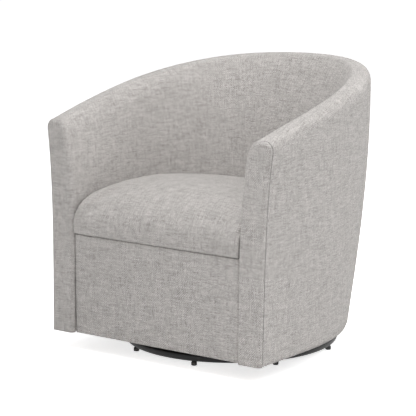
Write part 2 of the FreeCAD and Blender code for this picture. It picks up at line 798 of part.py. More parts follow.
def zigzag(x, front, z, pitch, turns, swing, wire):
    radius = pitch / 2
    edges = []
    here = Vector(x - swing + radius, front, z)
    for turn in range(turns):
        side = 1 if turn % 2 == 0 else -1
        corner = Vector(x + side * (swing - radius), here.y, z)
        edges.append(Part.makeLine(here, corner))
        bend = radius * math.sqrt(0.5)
        half = Vector(corner.x + side * radius, corner.y + radius, z)
        end = Vector(corner.x, corner.y + pitch, z)
        first = Vector(corner.x + side * bend, corner.y + radius - bend, z)
        second = Vector(corner.x + side * bend, corner.y + radius + bend, z)
        edges += [Part.Arc(corner, first, half).toShape(), Part.Arc(half, second, end).toShape()]
        here = end
    side = 1 if turns % 2 == 0 else -1
    edges.append(Part.makeLine(here, Vector(x + side * (swing - radius), here.y, z)))
    path = Part.Wire(edges)
    ring = Part.Wire([Part.makeCircle(wire, path.Edges[0].Vertexes[0].Point, Vector(1, 0, 0))])
    return path.makePipeShell([ring], True, False)


def springClip(x, y, z, top):
    """A small block on the rail with a hole for the end of the spring's wire."""
    wide, deep = float(d.clipWidth), float(d.clipDepth)
    foot = float(d.railTop)
    body = Part.makeBox(wide, deep, top - foot, Vector(x - wide / 2, y - deep / 2, foot))
    bore = float(d.springWire + d.runningFit)
    hole = Part.makeCylinder(bore, wide, Vector(x - wide / 2, y, z), Vector(1, 0, 0))
    return body.cut(hole)


# Wooden frame

def frontRailBack():
    return float(d.apronFront + d.apronThick + d.apronBoard + d.layerGap * 2 + d.railThick)


def apron():
    """The padded panel below the cushion, its upright edges rounded back into the gaps."""
    half = d.seatHalfWidth - d.innerDraw - d.apronGap
    body = doc.addObject("PartDesign::Body", "front_apron")
    sketch = newSketch(body, "apron_outline")
    drawRectangle(sketch, half, d.apronThick / 2)
    high = d.cushionBottom - d.apronTopGap - d.hemHeight
    pad(body, sketch, high)
    doc.recompute()
    solid = body.Tip
    fillet = body.newObject("PartDesign::Fillet", "apron_rounding")
    fillet.Base = (solid, uprightFrontEdges(solid.Shape))
    bind(fillet, "Radius", d.apronRound)
    keep(place(body, 0, d.apronFront + d.apronThick / 2, d.hemHeight), "front_apron")

    board = block("apron_board", half * 2 - d.apronRound * 2, d.apronBoard, high - d.layerGap * 10,
                  d.apronRound - half, d.apronFront + d.apronThick + d.layerGap, d.hemHeight + d.layerGap * 5)
    keep(board, "apron_board")


def uprightFrontEdges(shape):
    """Names of the upright edges on the front side."""
    names = []
    for i, edge in enumerate(shape.Edges, start=1):
        a, b = edge.Vertexes[0].Point, edge.Vertexes[-1].Point
        if abs(a.x - b.x) < 0.01 and abs(a.y - b.y) < 0.01 and a.y < shape.CenterOfMass.y:
            names.append("Edge%d" % i)
    return names


def seatFrame():
    floorTop = d.floorHeight + d.floorThick
    front = d.apronFront + d.apronThick + d.apronBoard + d.layerGap * 2
    inside = front + d.railThick
    length = d.railBack - inside
    height = d.railTop - floorTop
    half = d.seatHalfWidth + d.armPad
    keep(block("front_rail", half * 2, d.railThick, d.railTop - d.floorHeight,
               -half, front, d.floorHeight), "front_rail")
    keep(block("back_rail", d.railHalfWidth * 2, d.railThick, height,
               -d.railHalfWidth, d.railBack, floorTop), "back_rail")
    keep(block("side_rail_right", d.railThick, length, height,
               d.railHalfWidth - d.railThick, inside, floorTop), "side_rail_right")
    keep(block("side_rail_left", d.railThick, length, height,
               -d.railHalfWidth, inside, floorTop), "side_rail_left")
    for word, x in (("right", d.slatInside), ("left", -d.slatInside - d.slatWidth)):
        slat = block("slat_" + word, d.slatWidth, length, d.slatThick,
                     x, inside, d.topPlateHeight + d.plateThick)
        holes = [mountBolt("slat_%s_hole_%d" % (word, i), word, side, d.mountBoltRadius + d.boltPlay)
                 for i, side in enumerate((-1, 1))]
        keep(cut("mounting_slat_" + word, slat, *holes), "mounting_slat_" + word)


def mountBolt(name, word, side, radius):
    """A straight rod along one mounting bolt, through plate and slat."""
    x = d.mountBoltSide if word == "right" else -d.mountBoltSide
    low = d.topPlateHeight - d.mountNutHeight * 2
    return rod(name, radius, d.mountNutHeight * 3 + d.plateThick + d.slatThick,
               x, d.axisPlace + d.mountBoltPlace * side, low)


def armPosts():
    """Upright posts behind the arm fronts, leaning back with them."""
    for side, word in ((1, "right"), (-1, "left")):
        post = wallFiller(ArmStation(1.0, side), float(d.postBottom), Vector(0, float(d.postDepth), 0))
        post.translate(Vector(0, float(d.layerGap), 0))
        feature("arm_post_" + word, post)


def ribsAndCrestRail():
    corner, inner = float(d.cornerRibAngle), float(d.ribAngle)
    sides = [rib(BackStation(corner, side)) for side in (1, -1)]
    middle = [rib(BackStation(inner, side)) for side in (1, -1)]
    feature("corner_ribs", Part.makeCompound(sides))
    feature("back_ribs", Part.makeCompound(middle))
    feature("crest_rail", loft([crestRail(s) for s in allStations()]))


def floorOutline(inset, z):
    """The bottom of the frame: straight in front and round behind."""
    front = frontRailBack() + float(d.layerGap)
    stations = [s for s in allStations() if s.y > front + 5]
    points = [s.point(s.outer(z) - inset, z) for s in stations]
    ends = [Vector(points[0].x, front, z), Vector(points[-1].x, front, z)]
    return Part.Wire([Part.makeLine(ends[0], points[0]), smooth(points),
                      Part.makeLine(points[-1], ends[1]), Part.makeLine(ends[1], ends[0])])


def bottomBoardAndDustCover():
    z = float(d.floorHeight)
    inset = boardBack() + float(d.layerGap)
    outline = Part.Face(floorOutline(inset, z))
    wide = float(d.floorHoleWidth)
    near = frontRailBack() + float(d.floorHoleMargin)
    far = float(d.railBack - d.floorHoleMargin)
    hole = Part.makeBox(2 * wide, far - near, float(d.floorThick), Vector(-wide, near, z))
    board = outline.extrude(Vector(0, 0, float(d.floorThick))).cut(hole)
    feature("bottom_board", board)

    thick = float(d.dustThick)
    sheetLow = z - thick - float(d.layerGap)
    wide, deep = float(d.dustHoleWidth), float(d.dustHoleDepth)
    hole = Part.makeBox(2 * wide, 2 * deep, thick, Vector(-wide, float(d.axisPlace) - deep, sheetLow))
    dust = outline.extrude(Vector(0, 0, thick))
    dust.translate(Vector(0, 0, sheetLow - z))
    feature("dust_cover", dust.cut(hole))


# Round base

def glideAngles():
    count = int(float(d.glideCount))
    return [float(d.glideTurn) + 360 * i / count for i in range(count)]


def onCircle(radius, angle, z):
    turn = math.radians(angle)
    return Vector(radius * math.cos(turn), float(d.axisPlace) + radius * math.sin(turn), z)


def baseRing():
    """A bent tube with a hole in its underside for each glide."""
    middle = Vector(0, float(d.axisPlace), float(d.ringHeight))
    outer = Part.makeTorus(float(d.ringRadius), float(d.tubeRadius), middle)
    bore = Part.makeTorus(float(d.ringRadius), float(d.tubeRadius - d.tubeWall), middle)
    low = float(d.ringHeight - d.tubeRadius - d.tubeWall)
    holes = [Part.makeCylinder(float(d.glideStem + d.runningFit), float(d.tubeRadius),
                               onCircle(float(d.ringRadius), angle, low)) for angle in glideAngles()]
    feature("base_ring", outer.cut(bore).cut(holes))


def baseGlides():
    """Round feet with a stem that is pushed into the ring."""
    high = float(d.ringHeight - d.tubeRadius)
    radius, stem = float(d.glideRadius), float(d.glideStem)
    soft, saddle = float(d.glideSoft), float(d.glideSaddle)
    shoulder = high - float(d.glideBevel)
    outline = [
        Part.makeLine(Vector(0, 0, 0), Vector(radius - soft, 0, 0)),
        Part.Arc(Vector(radius - soft, 0, 0), Vector(radius - soft * 0.3, 0, soft * 0.3),
                 Vector(radius, 0, soft)).toShape(),
        Part.makeLine(Vector(radius, 0, soft), Vector(radius, 0, shoulder)),
        Part.makeLine(Vector(radius, 0, shoulder), Vector(saddle, 0, high)),
        Part.makeLine(Vector(saddle, 0, high), Vector(stem, 0, high)),
        Part.makeLine(Vector(stem, 0, high), Vector(stem, 0, float(d.glideStemTop))),
        Part.makeLine(Vector(stem, 0, float(d.glideStemTop)), Vector(0, 0, float(d.glideStemTop))),
        Part.makeLine(Vector(0, 0, float(d.glideStemTop)), Vector(0, 0, 0)),
    ]
    glide = Part.Face(Part.Wire(outline)).revolve(Vector(), Vector(0, 0, 1), 360)
    placed = [glide.translated(onCircle(float(d.ringRadius), angle, 0)) for angle in glideAngles()]
    feature("base_glides", Part.makeCompound(placed))


def baseArms():
    """Four box-section arms, coped to the ring at one end and under the hub at the other."""
    wide, high, wall = float(d.armBar), float(d.armBarHeight), float(d.armBarWall)
    start, length = float(d.armBarStart), float(d.ringRadius - d.armBarStart)
    low = float(d.ringHeight) - high / 2
    outer = Part.makeBox(length, wide, high, Vector(start, -wide / 2, low))
    bore = Part.makeBox(length, wide - 2 * wall, high - 2 * wall, Vector(start, wall - wide / 2, low + wall))
    ring = Part.makeTorus(float(d.ringRadius), float(d.tubeRadius), Vector(0, 0, float(d.ringHeight)))
    bar = outer.cut(bore).cut(ring)
    bar = max(bar.Solids, key=lambda solid: solid.Volume)
    bars = []
    for i in range(4):
        turned = bar.copy()
        turned.rotate(Vector(), Vector(0, 0, 1), float(d.glideTurn) + 90 * i)
        turned.translate(Vector(0, float(d.axisPlace), 0))
        bars.append(turned)
    feature("base_arms", Part.makeCompound(bars))


def hubAndBearing():
    hubLow = d.ringHeight + d.armBarHeight / 2
    hubTop = hubLow + d.plateThick
    ringBody("hub_plate", d.hubRadius, d.boltRadius + d.boltPlay, d.plateThick, d.axisPlace, hubLow)

    ballMiddle = hubTop + d.raceHeight + d.raceGap / 2
    upperLow = ballMiddle + d.raceGap / 2
    race("lower_race", hubTop, ballMiddle, d.ballRadius + d.ballPlay)
    race("upper_race", upperLow, ballMiddle, d.ballRadius + d.raceLift)
    ballsAndCage(ballMiddle)

    swivelLow = upperLow + d.raceHeight
    swivelTop = swivelLow + d.plateThick
    washerLow = swivelTop + d.slideGap
    nutLow = washerLow + d.washerThick
    boltTop = nutLow + d.nutHeight + d.boltEnd
    head = hexagon("king_head", d.boltHead, d.boltHeadHeight, 0, d.axisPlace, hubLow - d.boltHeadHeight)
    shank = rod("king_shank", d.boltRadius, boltTop - hubLow, 0, d.axisPlace, hubLow)
    keep(fused("king_bolt", head, shank), "king_bolt")
    bored = d.boltRadius + d.runningFit
    ringBody("king_washer", d.washerRadius, bored, d.washerThick, d.axisPlace, washerLow)
    nut = hexagon("nut_body", d.boltHead, d.nutHeight, 0, d.axisPlace, nutLow)
    bore = rod("nut_bore", bored, d.nutHeight, 0, d.axisPlace, nutLow)
    keep(cut("king_nut", nut, bore), "king_nut")
    return swivelLow


def race(label, low, ballMiddle, groove):
    """A flat ring with a round groove for the balls."""
    outer = rod(label + "_outer", d.raceOuter, d.raceHeight, 0, d.axisPlace, low)
    inner = rod(label + "_bore", d.raceInner, d.raceHeight, 0, d.axisPlace, low)
    torus = doc.addObject("Part::Torus", label + "_groove")
    bind(torus, "Radius1", (d.raceInner + d.raceOuter) / 2)
    bind(torus, "Radius2", groove)
    place(torus, 0, d.axisPlace, ballMiddle)
    keep(cut(label, outer, inner, torus), label)


def ballsAndCage(ballMiddle):
    pitch = (d.raceInner + d.raceOuter) / 2
    count = int(float(d.ballCount))
    balls = [Part.makeSphere(float(d.ballRadius), onCircle(float(pitch), 360 * i / count, float(ballMiddle)))
             for i in range(count)]
    feature("bearing_balls", Part.makeCompound(balls))

    cage = doc.addObject("PartDesign::Body", "ball_retainer")
    outline = newSketch(cage, "cage_outline")
    drawCircle(outline, pitch + d.cageWidth)
    drawCircle(outline, pitch - d.cageWidth)
    pad(cage, outline, d.cageThick)
    doc.recompute()
    hole = newSketch(cage, "cage_hole")
    drawCircle(hole, d.ballRadius + d.ballPlay * 4, pitch)
    pocket = cage.newObject("PartDesign::Pocket", "cage_pocket")
    pocket.Profile = hole
    pocket.Type = "ThroughAll"
    pocket.Midplane = True
    pattern = cage.newObject("PartDesign::PolarPattern", "cage_pattern")
    pattern.Originals = [pocket]
    pattern.Axis = (originPlane(cage, "Z_Axis"), [""])
    pattern.Angle = 360
    bind(pattern, "Occurrences", d.ballCount)
    cage.Tip = pattern
    keep(place(cage, 0, d.axisPlace, ballMiddle - d.cageThick / 2), "ball_retainer")


# Rocking mechanism

def swivelParts(swivelLow):
    swivelTop = swivelLow + d.plateThick
    plate = doc.addObject("PartDesign::Body", "swivel_plate")
    outline = newSketch(plate, "swivel_outline")
    drawRectangle(outline, d.swivelHalf, d.swivelHalf)
    drawCircle(outline, d.boltRadius + d.runningFit)
    pad(plate, outline, d.plateThick)
    keep(place(plate, 0, d.axisPlace, swivelLow), "swivel_plate")

    for word, side in (("front", -1), ("back", 1)):
        strap = block("spring_strap_" + word, d.bracketInside * 2, d.strapWidth, d.plateThick,
                      -d.bracketInside, d.axisPlace + d.springPlace * side - d.strapWidth / 2, swivelTop)
        keep(strap, "spring_strap_" + word)

    for word, side in (("right", 1), ("left", -1)):
        feature("rocker_bracket_" + word, bracket(side, float(swivelTop)))
        feature("pivot_pin_" + word, pivotPin(side))
        feature("pivot_bush_" + word, pivotBush(side))
        feature("rocker_ear_" + word, rockerEar(side))


def mirrored(shape, side):
    """The shape itself for the right side, or its mirror image for the left."""
    return shape if side > 0 else shape.mirror(Vector(), Vector(1, 0, 0))


def bracket(side, low):
    """An upright plate with a rounded head and a foot flange that turns inwards."""
    x, thick = float(d.bracketInside), float(d.plateThick)
    y, z = float(d.axisPlace), float(d.pivotHeight)
    foot, head = float(d.bracketFoot), float(d.bracketHead)
    step = math.radians(float(d.headTurn))
    left = Vector(x, y - head * math.cos(step), z + head * math.sin(step))
    right = Vector(x, y + head * math.cos(step), z + head * math.sin(step))
    heel = Vector(x, y - foot, low)
    toe = Vector(x, y + foot, low)
    lip = Vector(0, 0, float(d.bracketLip))
    edges = [
        Part.makeLine(heel, heel + lip),
        Part.makeLine(heel + lip, left),
        Part.Arc(left, Vector(x, y, z + head), right).toShape(),
        Part.makeLine(right, toe + lip),
        Part.makeLine(toe + lip, toe),
        Part.makeLine(toe, heel),
    ]
    plate = Part.Face(Part.Wire(edges)).extrude(Vector(thick, 0, 0))
    hole = Part.makeCylinder(float(d.pinRadius + d.runningFit), thick, Vector(x, y, z), Vector(1, 0, 0))
    half, wide = float(d.springPlace - d.strapWidth / 2), float(d.flangeWidth)
    flange = Part.makeBox(wide, 2 * half, thick, Vector(x - wide, y - half, low))
    return mirrored(plate.cut(hole).fuse(flange).removeSplitter(), side)


def earPlace():
    """Inner face of a rocker ear."""
    return float(d.bracketInside + d.plateThick + d.earGap)


def pivotPin(side):
    """A headed pin through bracket, bush and ear, headed over on the inside."""
    thick = float(d.plateThick)
    y, z = float(d.axisPlace), float(d.pivotHeight)
    inside = float(d.bracketInside) - float(d.pinHeadThick)
    outside = earPlace() + thick + float(d.bushFlange + d.slideGap)
    axis = Vector(1, 0, 0)
    shank = Part.makeCylinder(float(d.pinRadius), outside - inside, Vector(inside, y, z), axis)
    inner = Part.makeCylinder(float(d.pinHead), float(d.pinHeadThick), Vector(inside, y, z), axis)
    outer = Part.makeCylinder(float(d.pinHead), float(d.pinHeadThick), Vector(outside, y, z), axis)
    return mirrored(shank.fuse([inner, outer]).removeSplitter(), side)


def pivotBush(side):
    """A flanged bush that is pressed into the ear from outside."""
    axis, thick, lip = Vector(1, 0, 0), float(d.plateThick), float(d.bushFlange)
    start = Vector(earPlace(), float(d.axisPlace), float(d.pivotHeight))
    sleeve = Part.makeCylinder(float(d.pinRadius + d.bushWall), thick, start, axis)
    flange = Part.makeCylinder(float(d.bushFlangeRadius), lip, start + axis * thick, axis)
    bore = Part.makeCylinder(float(d.pinRadius + d.runningFit), thick + lip, start, axis)
    return mirrored(sleeve.fuse(flange).cut(bore), side)


def rockerEar(side):
    """A plate that hangs from the top plate and carries the bush."""
    x, thick = earPlace(), float(d.plateThick)
    y, z = float(d.axisPlace), float(d.pivotHeight)
    head, top = float(d.bracketHead), float(d.topPlateHeight)
    reach = float(d.earReach)
    step = math.radians(float(d.headTurn))
    left = Vector(x, y - head * math.cos(step), z - head * math.sin(step))
    right = Vector(x, y + head * math.cos(step), z - head * math.sin(step))
    edges = [
        Part.makeLine(Vector(x, y - reach, top), left),
        Part.Arc(left, Vector(x, y, z - head), right).toShape(),
        Part.makeLine(right, Vector(x, y + reach, top)),
        Part.makeLine(Vector(x, y + reach, top), Vector(x, y - reach, top)),
    ]
    plate = Part.Face(Part.Wire(edges)).extrude(Vector(thick, 0, 0))
    hole = Part.makeCylinder(float(d.pinRadius + d.bushWall), thick, Vector(x, y, z), Vector(1, 0, 0))
    return mirrored(plate.cut(hole), side)


def topPlate():
    half = earPlaceSize() + d.plateThick
    plate = block("top_plate_blank", half * 2, d.topPlateHalf * 2, d.plateThick,
                  -half, d.axisPlace - d.topPlateHalf, d.topPlateHeight)
    holes = [mountBolt("top_hole_%s_%d" % (word, i), word, side, d.mountBoltRadius + d.boltPlay)
             for word in ("right", "left") for i, side in enumerate((-1, 1))]
    keep(cut("rocker_top_plate", plate, *holes), "rocker_top_plate")


def earPlaceSize():
    return d.bracketInside + d.plateThick + d.earGap


def springPlaces():
    side, place = float(d.springSide), float(d.springPlace)
    return [(side * i, float(d.axisPlace) + place * k) for i in (-1, 1) for k in (-1, 1)]


def springCup(low, upwards):
    """A disc with a boss that centres the spring."""
    thick = float(d.cupThick)
    disc = Part.makeCylinder(float(d.cupRadius), thick)
    boss = Part.makeCone(float(d.cupBoss), float(d.cupBossEnd), float(d.cupBossHeight), Vector(0, 0, thick))
    cup = disc.fuse(boss).removeSplitter()
    if not upwards:
        cup = cup.mirror(Vector(), Vector(0, 0, 1))
    return cup.translated(Vector(0, 0, low))


def rockSprings(swivelLow):
    """Four coil springs that bring the chair back upright, between two sets of cups."""
    low = float(swivelLow + d.plateThick * 2)
    high = float(d.topPlateHeight)
    lower = [springCup(low, True).translated(Vector(x, y, 0)) for x, y in springPlaces()]
    upper = [springCup(high, False).translated(Vector(x, y, 0)) for x, y in springPlaces()]
    feature("lower_spring_cups", Part.makeCompound(lower))
    feature("upper_spring_cups", Part.makeCompound(upper))

    wire, radius = float(d.coilWire), float(d.coilRadius)
    start = low + float(d.cupThick) + wire
    length = high - float(d.cupThick) - wire - start
    helix = Part.makeHelix(length / float(d.coilTurns), length, radius)
    ring = Part.Wire([Part.makeCircle(wire, Vector(radius, 0, 0), Vector(0, 1, 0))])
    coil = Part.Wire(helix.Edges).makePipeShell([ring], True, True)
    coils = [coil.translated(Vector(x, y, start)) for x, y in springPlaces()]
    feature("rock_springs", Part.makeCompound(coils))


def mountingBolts():
    """Round-headed bolts down through slat and top plate, with nuts under the plate."""
    top = float(d.topPlateHeight + d.plateThick + d.slatThick)
    nutLow = float(d.topPlateHeight - d.mountNutHeight)
    radius, end = float(d.mountBoltRadius), nutLow - float(d.mountBoltEnd)
    shank = Part.makeCylinder(radius, top - end, Vector(0, 0, end))
    squash = FreeCAD.Matrix()
    squash.scale(1, 1, float(d.mountBoltHeadHeight / d.mountBoltHead))
    dome = Part.makeSphere(float(d.mountBoltHead), Vector(), Vector(0, 0, 1), 0, 90, 360)
    bolt = shank.fuse(dome.transformGeometry(squash).translated(Vector(0, 0, top)))

    corners = [math.radians(60 * i) for i in range(7)]
    wide = float(d.mountNut)
    outline = Part.makePolygon([Vector(wide * math.cos(a), wide * math.sin(a), nutLow) for a in corners])
    bore = Part.makeCylinder(radius + float(d.runningFit), float(d.mountNutHeight), Vector(0, 0, nutLow))
    nut = Part.Face(outline).extrude(Vector(0, 0, float(d.mountNutHeight))).cut(bore)

    side, place, axis = float(d.mountBoltSide), float(d.mountBoltPlace), float(d.axisPlace)
    spots = [Vector(side * i, axis + place * k, 0) for i in (-1, 1) for k in (-1, 1)]
    feature("mounting_bolts", Part.makeCompound([bolt.translated(spot) for spot in spots]))
    feature("mounting_nuts", Part.makeCompound([nut.translated(spot) for spot in spots]))


def checkAndExport():
    doc.recompute()
    for item in doc.Objects:
        if "Invalid" in item.State or "Error" in item.State:
            raise RuntimeError("%s did not compute: %s" % (item.Label, item.State))
    for item in built:
        if item.Shape.isNull() or not item.Shape.isValid() or item.Shape.Volume <= 0:
            raise RuntimeError(item.Label + " has no valid shape")
    os.makedirs("parts", exist_ok=True)
    for item in built:
        item.Shape.exportStep("parts/%s.step" % item.Label)
    print(len(built), "sub-parts written")


barrelCovers()
armFronts()
seatDeck()
seatCushion()
seatSprings()
apron()
seatFrame()
armPosts()
ribsAndCrestRail()
bottomBoardAndDustCover()
baseRing()
baseGlides()
baseArms()
swivelPlateLow = hubAndBearing()
swivelParts(swivelPlateLow)
topPlate()
rockSprings(swivelPlateLow)
mountingBolts()
checkAndExport()
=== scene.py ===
import json
import math

import bmesh
import bpy
import numpy as np
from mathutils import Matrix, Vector, noise


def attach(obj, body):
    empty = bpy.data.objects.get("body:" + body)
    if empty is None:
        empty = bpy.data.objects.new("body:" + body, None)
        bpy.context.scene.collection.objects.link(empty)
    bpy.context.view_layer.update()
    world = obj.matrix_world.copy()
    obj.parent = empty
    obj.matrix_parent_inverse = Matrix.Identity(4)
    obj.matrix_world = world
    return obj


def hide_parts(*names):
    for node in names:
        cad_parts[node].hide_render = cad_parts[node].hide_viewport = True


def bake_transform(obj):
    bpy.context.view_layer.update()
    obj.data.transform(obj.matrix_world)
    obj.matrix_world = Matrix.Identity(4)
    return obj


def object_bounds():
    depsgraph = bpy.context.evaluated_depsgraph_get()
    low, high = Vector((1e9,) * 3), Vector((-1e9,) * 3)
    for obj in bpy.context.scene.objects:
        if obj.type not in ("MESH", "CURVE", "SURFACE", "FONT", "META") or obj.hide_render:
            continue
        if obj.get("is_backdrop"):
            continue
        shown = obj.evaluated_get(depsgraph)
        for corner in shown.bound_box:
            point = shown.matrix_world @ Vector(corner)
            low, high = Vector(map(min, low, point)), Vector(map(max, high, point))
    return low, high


# Barrel chair that swivels and rocks: woven cloth over padding on a low black base.
# Metres. The chair faces -Y and stands on the floor at z = 0.

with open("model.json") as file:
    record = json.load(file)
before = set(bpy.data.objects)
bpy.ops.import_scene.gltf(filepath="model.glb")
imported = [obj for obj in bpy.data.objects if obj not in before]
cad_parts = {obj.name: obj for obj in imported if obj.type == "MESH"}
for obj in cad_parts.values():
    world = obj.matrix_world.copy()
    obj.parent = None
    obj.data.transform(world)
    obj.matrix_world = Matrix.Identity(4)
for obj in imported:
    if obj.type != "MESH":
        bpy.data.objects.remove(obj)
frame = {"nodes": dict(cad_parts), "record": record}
cadLow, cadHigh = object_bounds()
print("frame loaded:", len(frame["nodes"]), "nodes")

scene = bpy.context.scene


# Nodes

def operator(name, swapped=False):
    def apply(self, other):
        return self.maths(name, *((other, self) if swapped else (self, other)))
    return apply


class Wire:
    # One output of a node, so that sums on it read as plain maths
    def __init__(self, tree, node, output=0):
        self.tree, self.node = tree, node
        self.socket = node.outputs[output] if len(node.outputs) else None

    def out(self, name):
        return Wire(self.tree, self.node, name)

    def maths(self, operation, *values):
        return self.tree.add("ShaderNodeMath", {"operation": operation}, dict(enumerate(values)))

    __add__, __radd__ = operator("ADD"), operator("ADD", True)
    __sub__, __rsub__ = operator("SUBTRACT"), operator("SUBTRACT", True)
    __mul__, __rmul__ = operator("MULTIPLY"), operator("MULTIPLY", True)
    __truediv__, __gt__ = operator("DIVIDE"), operator("GREATER_THAN")

    def floor(self):
        return self.maths("FLOOR", self)

    def fraction(self):
        return self.maths("FRACT", self)

    def clamp(self):
        return self.maths("MINIMUM", self.maths("MAXIMUM", self, 0.0), 1.0)

    def length(self):
        return self.tree.add("ShaderNodeVectorMath", {"operation": "LENGTH"}, {0: self}, 1)

    def arch(self):
        # 0 at whole numbers and 1 half way between them
        return self.maths("SINE", self.fraction() * math.pi)


class Tree:
    # The nodes of a material or of a Geometry Nodes group
    def __init__(self, nodeTree):
        self.nodes, self.links = nodeTree.nodes, nodeTree.links

    def add(self, kind, settings=None, inputs=None, output=0):
        node = self.nodes.new(kind)
        for name, value in (settings or {}).items():
            if name == "stops":
                self.setStops(node.color_ramp, value)
            else:
                setattr(node, name, value)
        for name, value in (inputs or {}).items():
            self.feed(node.inputs[name], value)
        return Wire(self, node, output)

    def feed(self, socket, value):
        if isinstance(value, Wire):
            self.links.new(value.socket, socket)
        else:
            socket.default_value = value

    def setStops(self, ramp, stops):
        while len(ramp.elements) < len(stops):
            ramp.elements.new(0.5)
        for element, (place, colour) in zip(ramp.elements, stops):
            element.position = place
            element.color = colour

    def mix(self, factor, a, b, blend="MIX"):
        settings = {"data_type": "RGBA", "blend_type": blend}
        return self.add("ShaderNodeMix", settings, {0: factor, 6: a, 7: b}, 2)

    def split(self, vector):
        parts = self.add("ShaderNodeSeparateXYZ", None, {0: vector})
        return parts, parts.out("Y"), parts.out("Z")

    def vector(self, x, y, z=0.0):
        return self.add("ShaderNodeCombineXYZ", None, {0: x, 1: y, 2: z})

    def random(self, place, seed):
        # A steady random value from 0 to 1 for each whole number
        inputs = {"Vector": self.vector(place, seed)}
        return self.add("ShaderNodeTexWhiteNoise", {"noise_dimensions": "2D"}, inputs)

    def cloud(self, place, scale, detail=2.0, roughness=0.5):
        inputs = {"Vector": place, "Scale": scale, "Detail": detail, "Roughness": roughness}
        return self.add("ShaderNodeTexNoise", None, inputs)

    def objectPlace(self):
        return self.add("ShaderNodeTexCoord").out("Object")

    def bump(self, height, distance, strength=1.0):
        return self.add("ShaderNodeBump", None, {"Height": height, "Distance": distance, "Strength": strength})


def newMaterial(name):
    material = bpy.data.materials.new(name)
    material.use_nodes = True
    tree = Tree(material.node_tree)
    tree.nodes.clear()
    tree.material = material
    return tree


def finishMaterial(tree, constants, varying):
    # Constants are set on the shader's own sockets, varying things are links
    shader = tree.add("ShaderNodeBsdfPrincipled", None, constants)
    for name, value in varying.items():
        tree.feed(shader.node.inputs[name], value)
    tree.add("ShaderNodeOutputMaterial", None, {"Surface": shader})
    return tree.material


# Woven cloth

weave = {
    "yarn": 0.0016,             # distance between two neighbouring yarns
    "dark": (0.215, 0.200, 0.188, 1),
    "light": (0.66, 0.632, 0.612, 1),
    "relief": 0.0004, "gloss": 0.88,
    "streakRate": 0.042, "dashRate": 0.16,      # changes of tone along a pair and along a yarn
    "streak": 1.15, "dash": 1.0, "fleck": 0.3,  # how strong each kind of change is
    "warp": 0.9, "weft": 1.1, "apart": 0.11,    # contrast of both yarns and how far their tones lie apart
    "shade": 0.72, "lit": 0.42, "crease": 0.6,
}


def yarnTone(tree, along, across, seed):
    # Two yarns lie side by side; their tone changes slowly along them, as in melange yarn
    w, pair = weave, (across * 0.5).floor()
    streak = tree.cloud(tree.vector(along * w["streakRate"], pair * 7.7 + seed), 1.0, 1.0)
    dash = tree.cloud(tree.vector(along * w["dashRate"], across.floor() * 5.3 - seed), 1.0, 1.0)
    fleck = tree.random(across.floor() + seed, (along * 0.5).floor())
    return (streak - 0.5) * w["streak"] + (dash - 0.5) * w["dash"] + (fleck - 0.5) * w["fleck"]


def clothMaterial(name):
    tree = newMaterial(name)
    w = weave
    u, v = tree.split(tree.add("ShaderNodeUVMap", {"uv_map": "weave"}))[:2]
    x, y = u / w["yarn"], v / w["yarn"]
    # Basket weave: pairs of yarns cross other pairs over and under
    parity = (((x * 0.5).floor() + (y * 0.5).floor()) * 0.5).fraction()
    upright = parity > 0.25
    warpHeight = x.arch() * (0.55 + 0.45 * (y * 0.5).arch())
    weftHeight = y.arch() * (0.55 + 0.45 * (x * 0.5).arch())
    height = upright * warpHeight + (1 - upright) * weftHeight
    warp, weft = yarnTone(tree, y, x, 3.0), yarnTone(tree, x, y, 41.0)
    warp, weft = warp * w["warp"] - w["apart"], weft * w["weft"] + w["apart"]
    colour = tree.mix(0.5 + upright * warp + (1 - upright) * weft, w["dark"], w["light"])
    patchy = tree.cloud(tree.objectPlace(), 9.0, 3.0)
    # Painted shade: the colour darkens along seams by a value that each piece carries for every point
    crease = tree.add("ShaderNodeAttribute", {"attribute_name": "crease"}, None, "Fac")
    # Painted shade: the colour is darker in the hollows between yarns and lighter on the yarn tops, and the seam
    # shade darkens it further
    depth = (w["shade"] + w["lit"] * height) * (0.98 + 0.04 * patchy) * (1 - w["crease"] * crease)
    colour = tree.mix(1.0, colour, tree.vector(depth, depth, depth), "MULTIPLY")
    twist = ((x + y) * 2.0).arch() * 0.12
    fuzz = tree.cloud(tree.objectPlace(), 900.0, 2.0) * 0.25
    bump = tree.bump(height + twist + fuzz, w["relief"], 0.7)
    constants = {"Sheen Weight": 0.12, "Sheen Roughness": 0.5, "Specular IOR Level": 0.3}
    varying = {"Base Color": colour, "Normal": bump, "Roughness": w["gloss"] + 0.08 * fuzz}
    return finishMaterial(tree, constants, varying)


# Hard finishes on Object coordinates

def paintedSteel(name, colour, gloss):
    tree = newMaterial(name)
    place = tree.objectPlace()
    peel = tree.cloud(place, 900.0, 2.0)
    dust = tree.cloud(place, 38.0, 5.0, 0.65)
    tint = tree.mix((dust > 0.58) * 0.05 + dust * 0.03, colour, (0.16, 0.155, 0.15, 1))
    normal = tree.bump(peel, 0.00012, 0.5)
    return finishMaterial(tree, {"Specular IOR Level": 0.3}, {
        "Base Color": tint, "Roughness": gloss + 0.22 * dust, "Normal": normal})


def platedSteel(name, colour, gloss, brushed=(1, 1, 1)):
    tree = newMaterial(name)
    place = tree.objectPlace()
    stretched = tree.add("ShaderNodeMapping", None, {0: place, "Scale": brushed})
    brush = tree.cloud(stretched, 420.0, 3.0)
    cloudy = tree.cloud(place, 60.0, 4.0)
    dark = tuple(c * 0.55 for c in colour[:3]) + (1,)
    tint = tree.mix(cloudy, dark, colour)
    return finishMaterial(tree, {"Metallic": 1.0}, {
        "Base Color": tint, "Roughness": gloss + 0.25 * cloudy * brush, "Normal": tree.bump(brush, 0.00008, 0.6)})


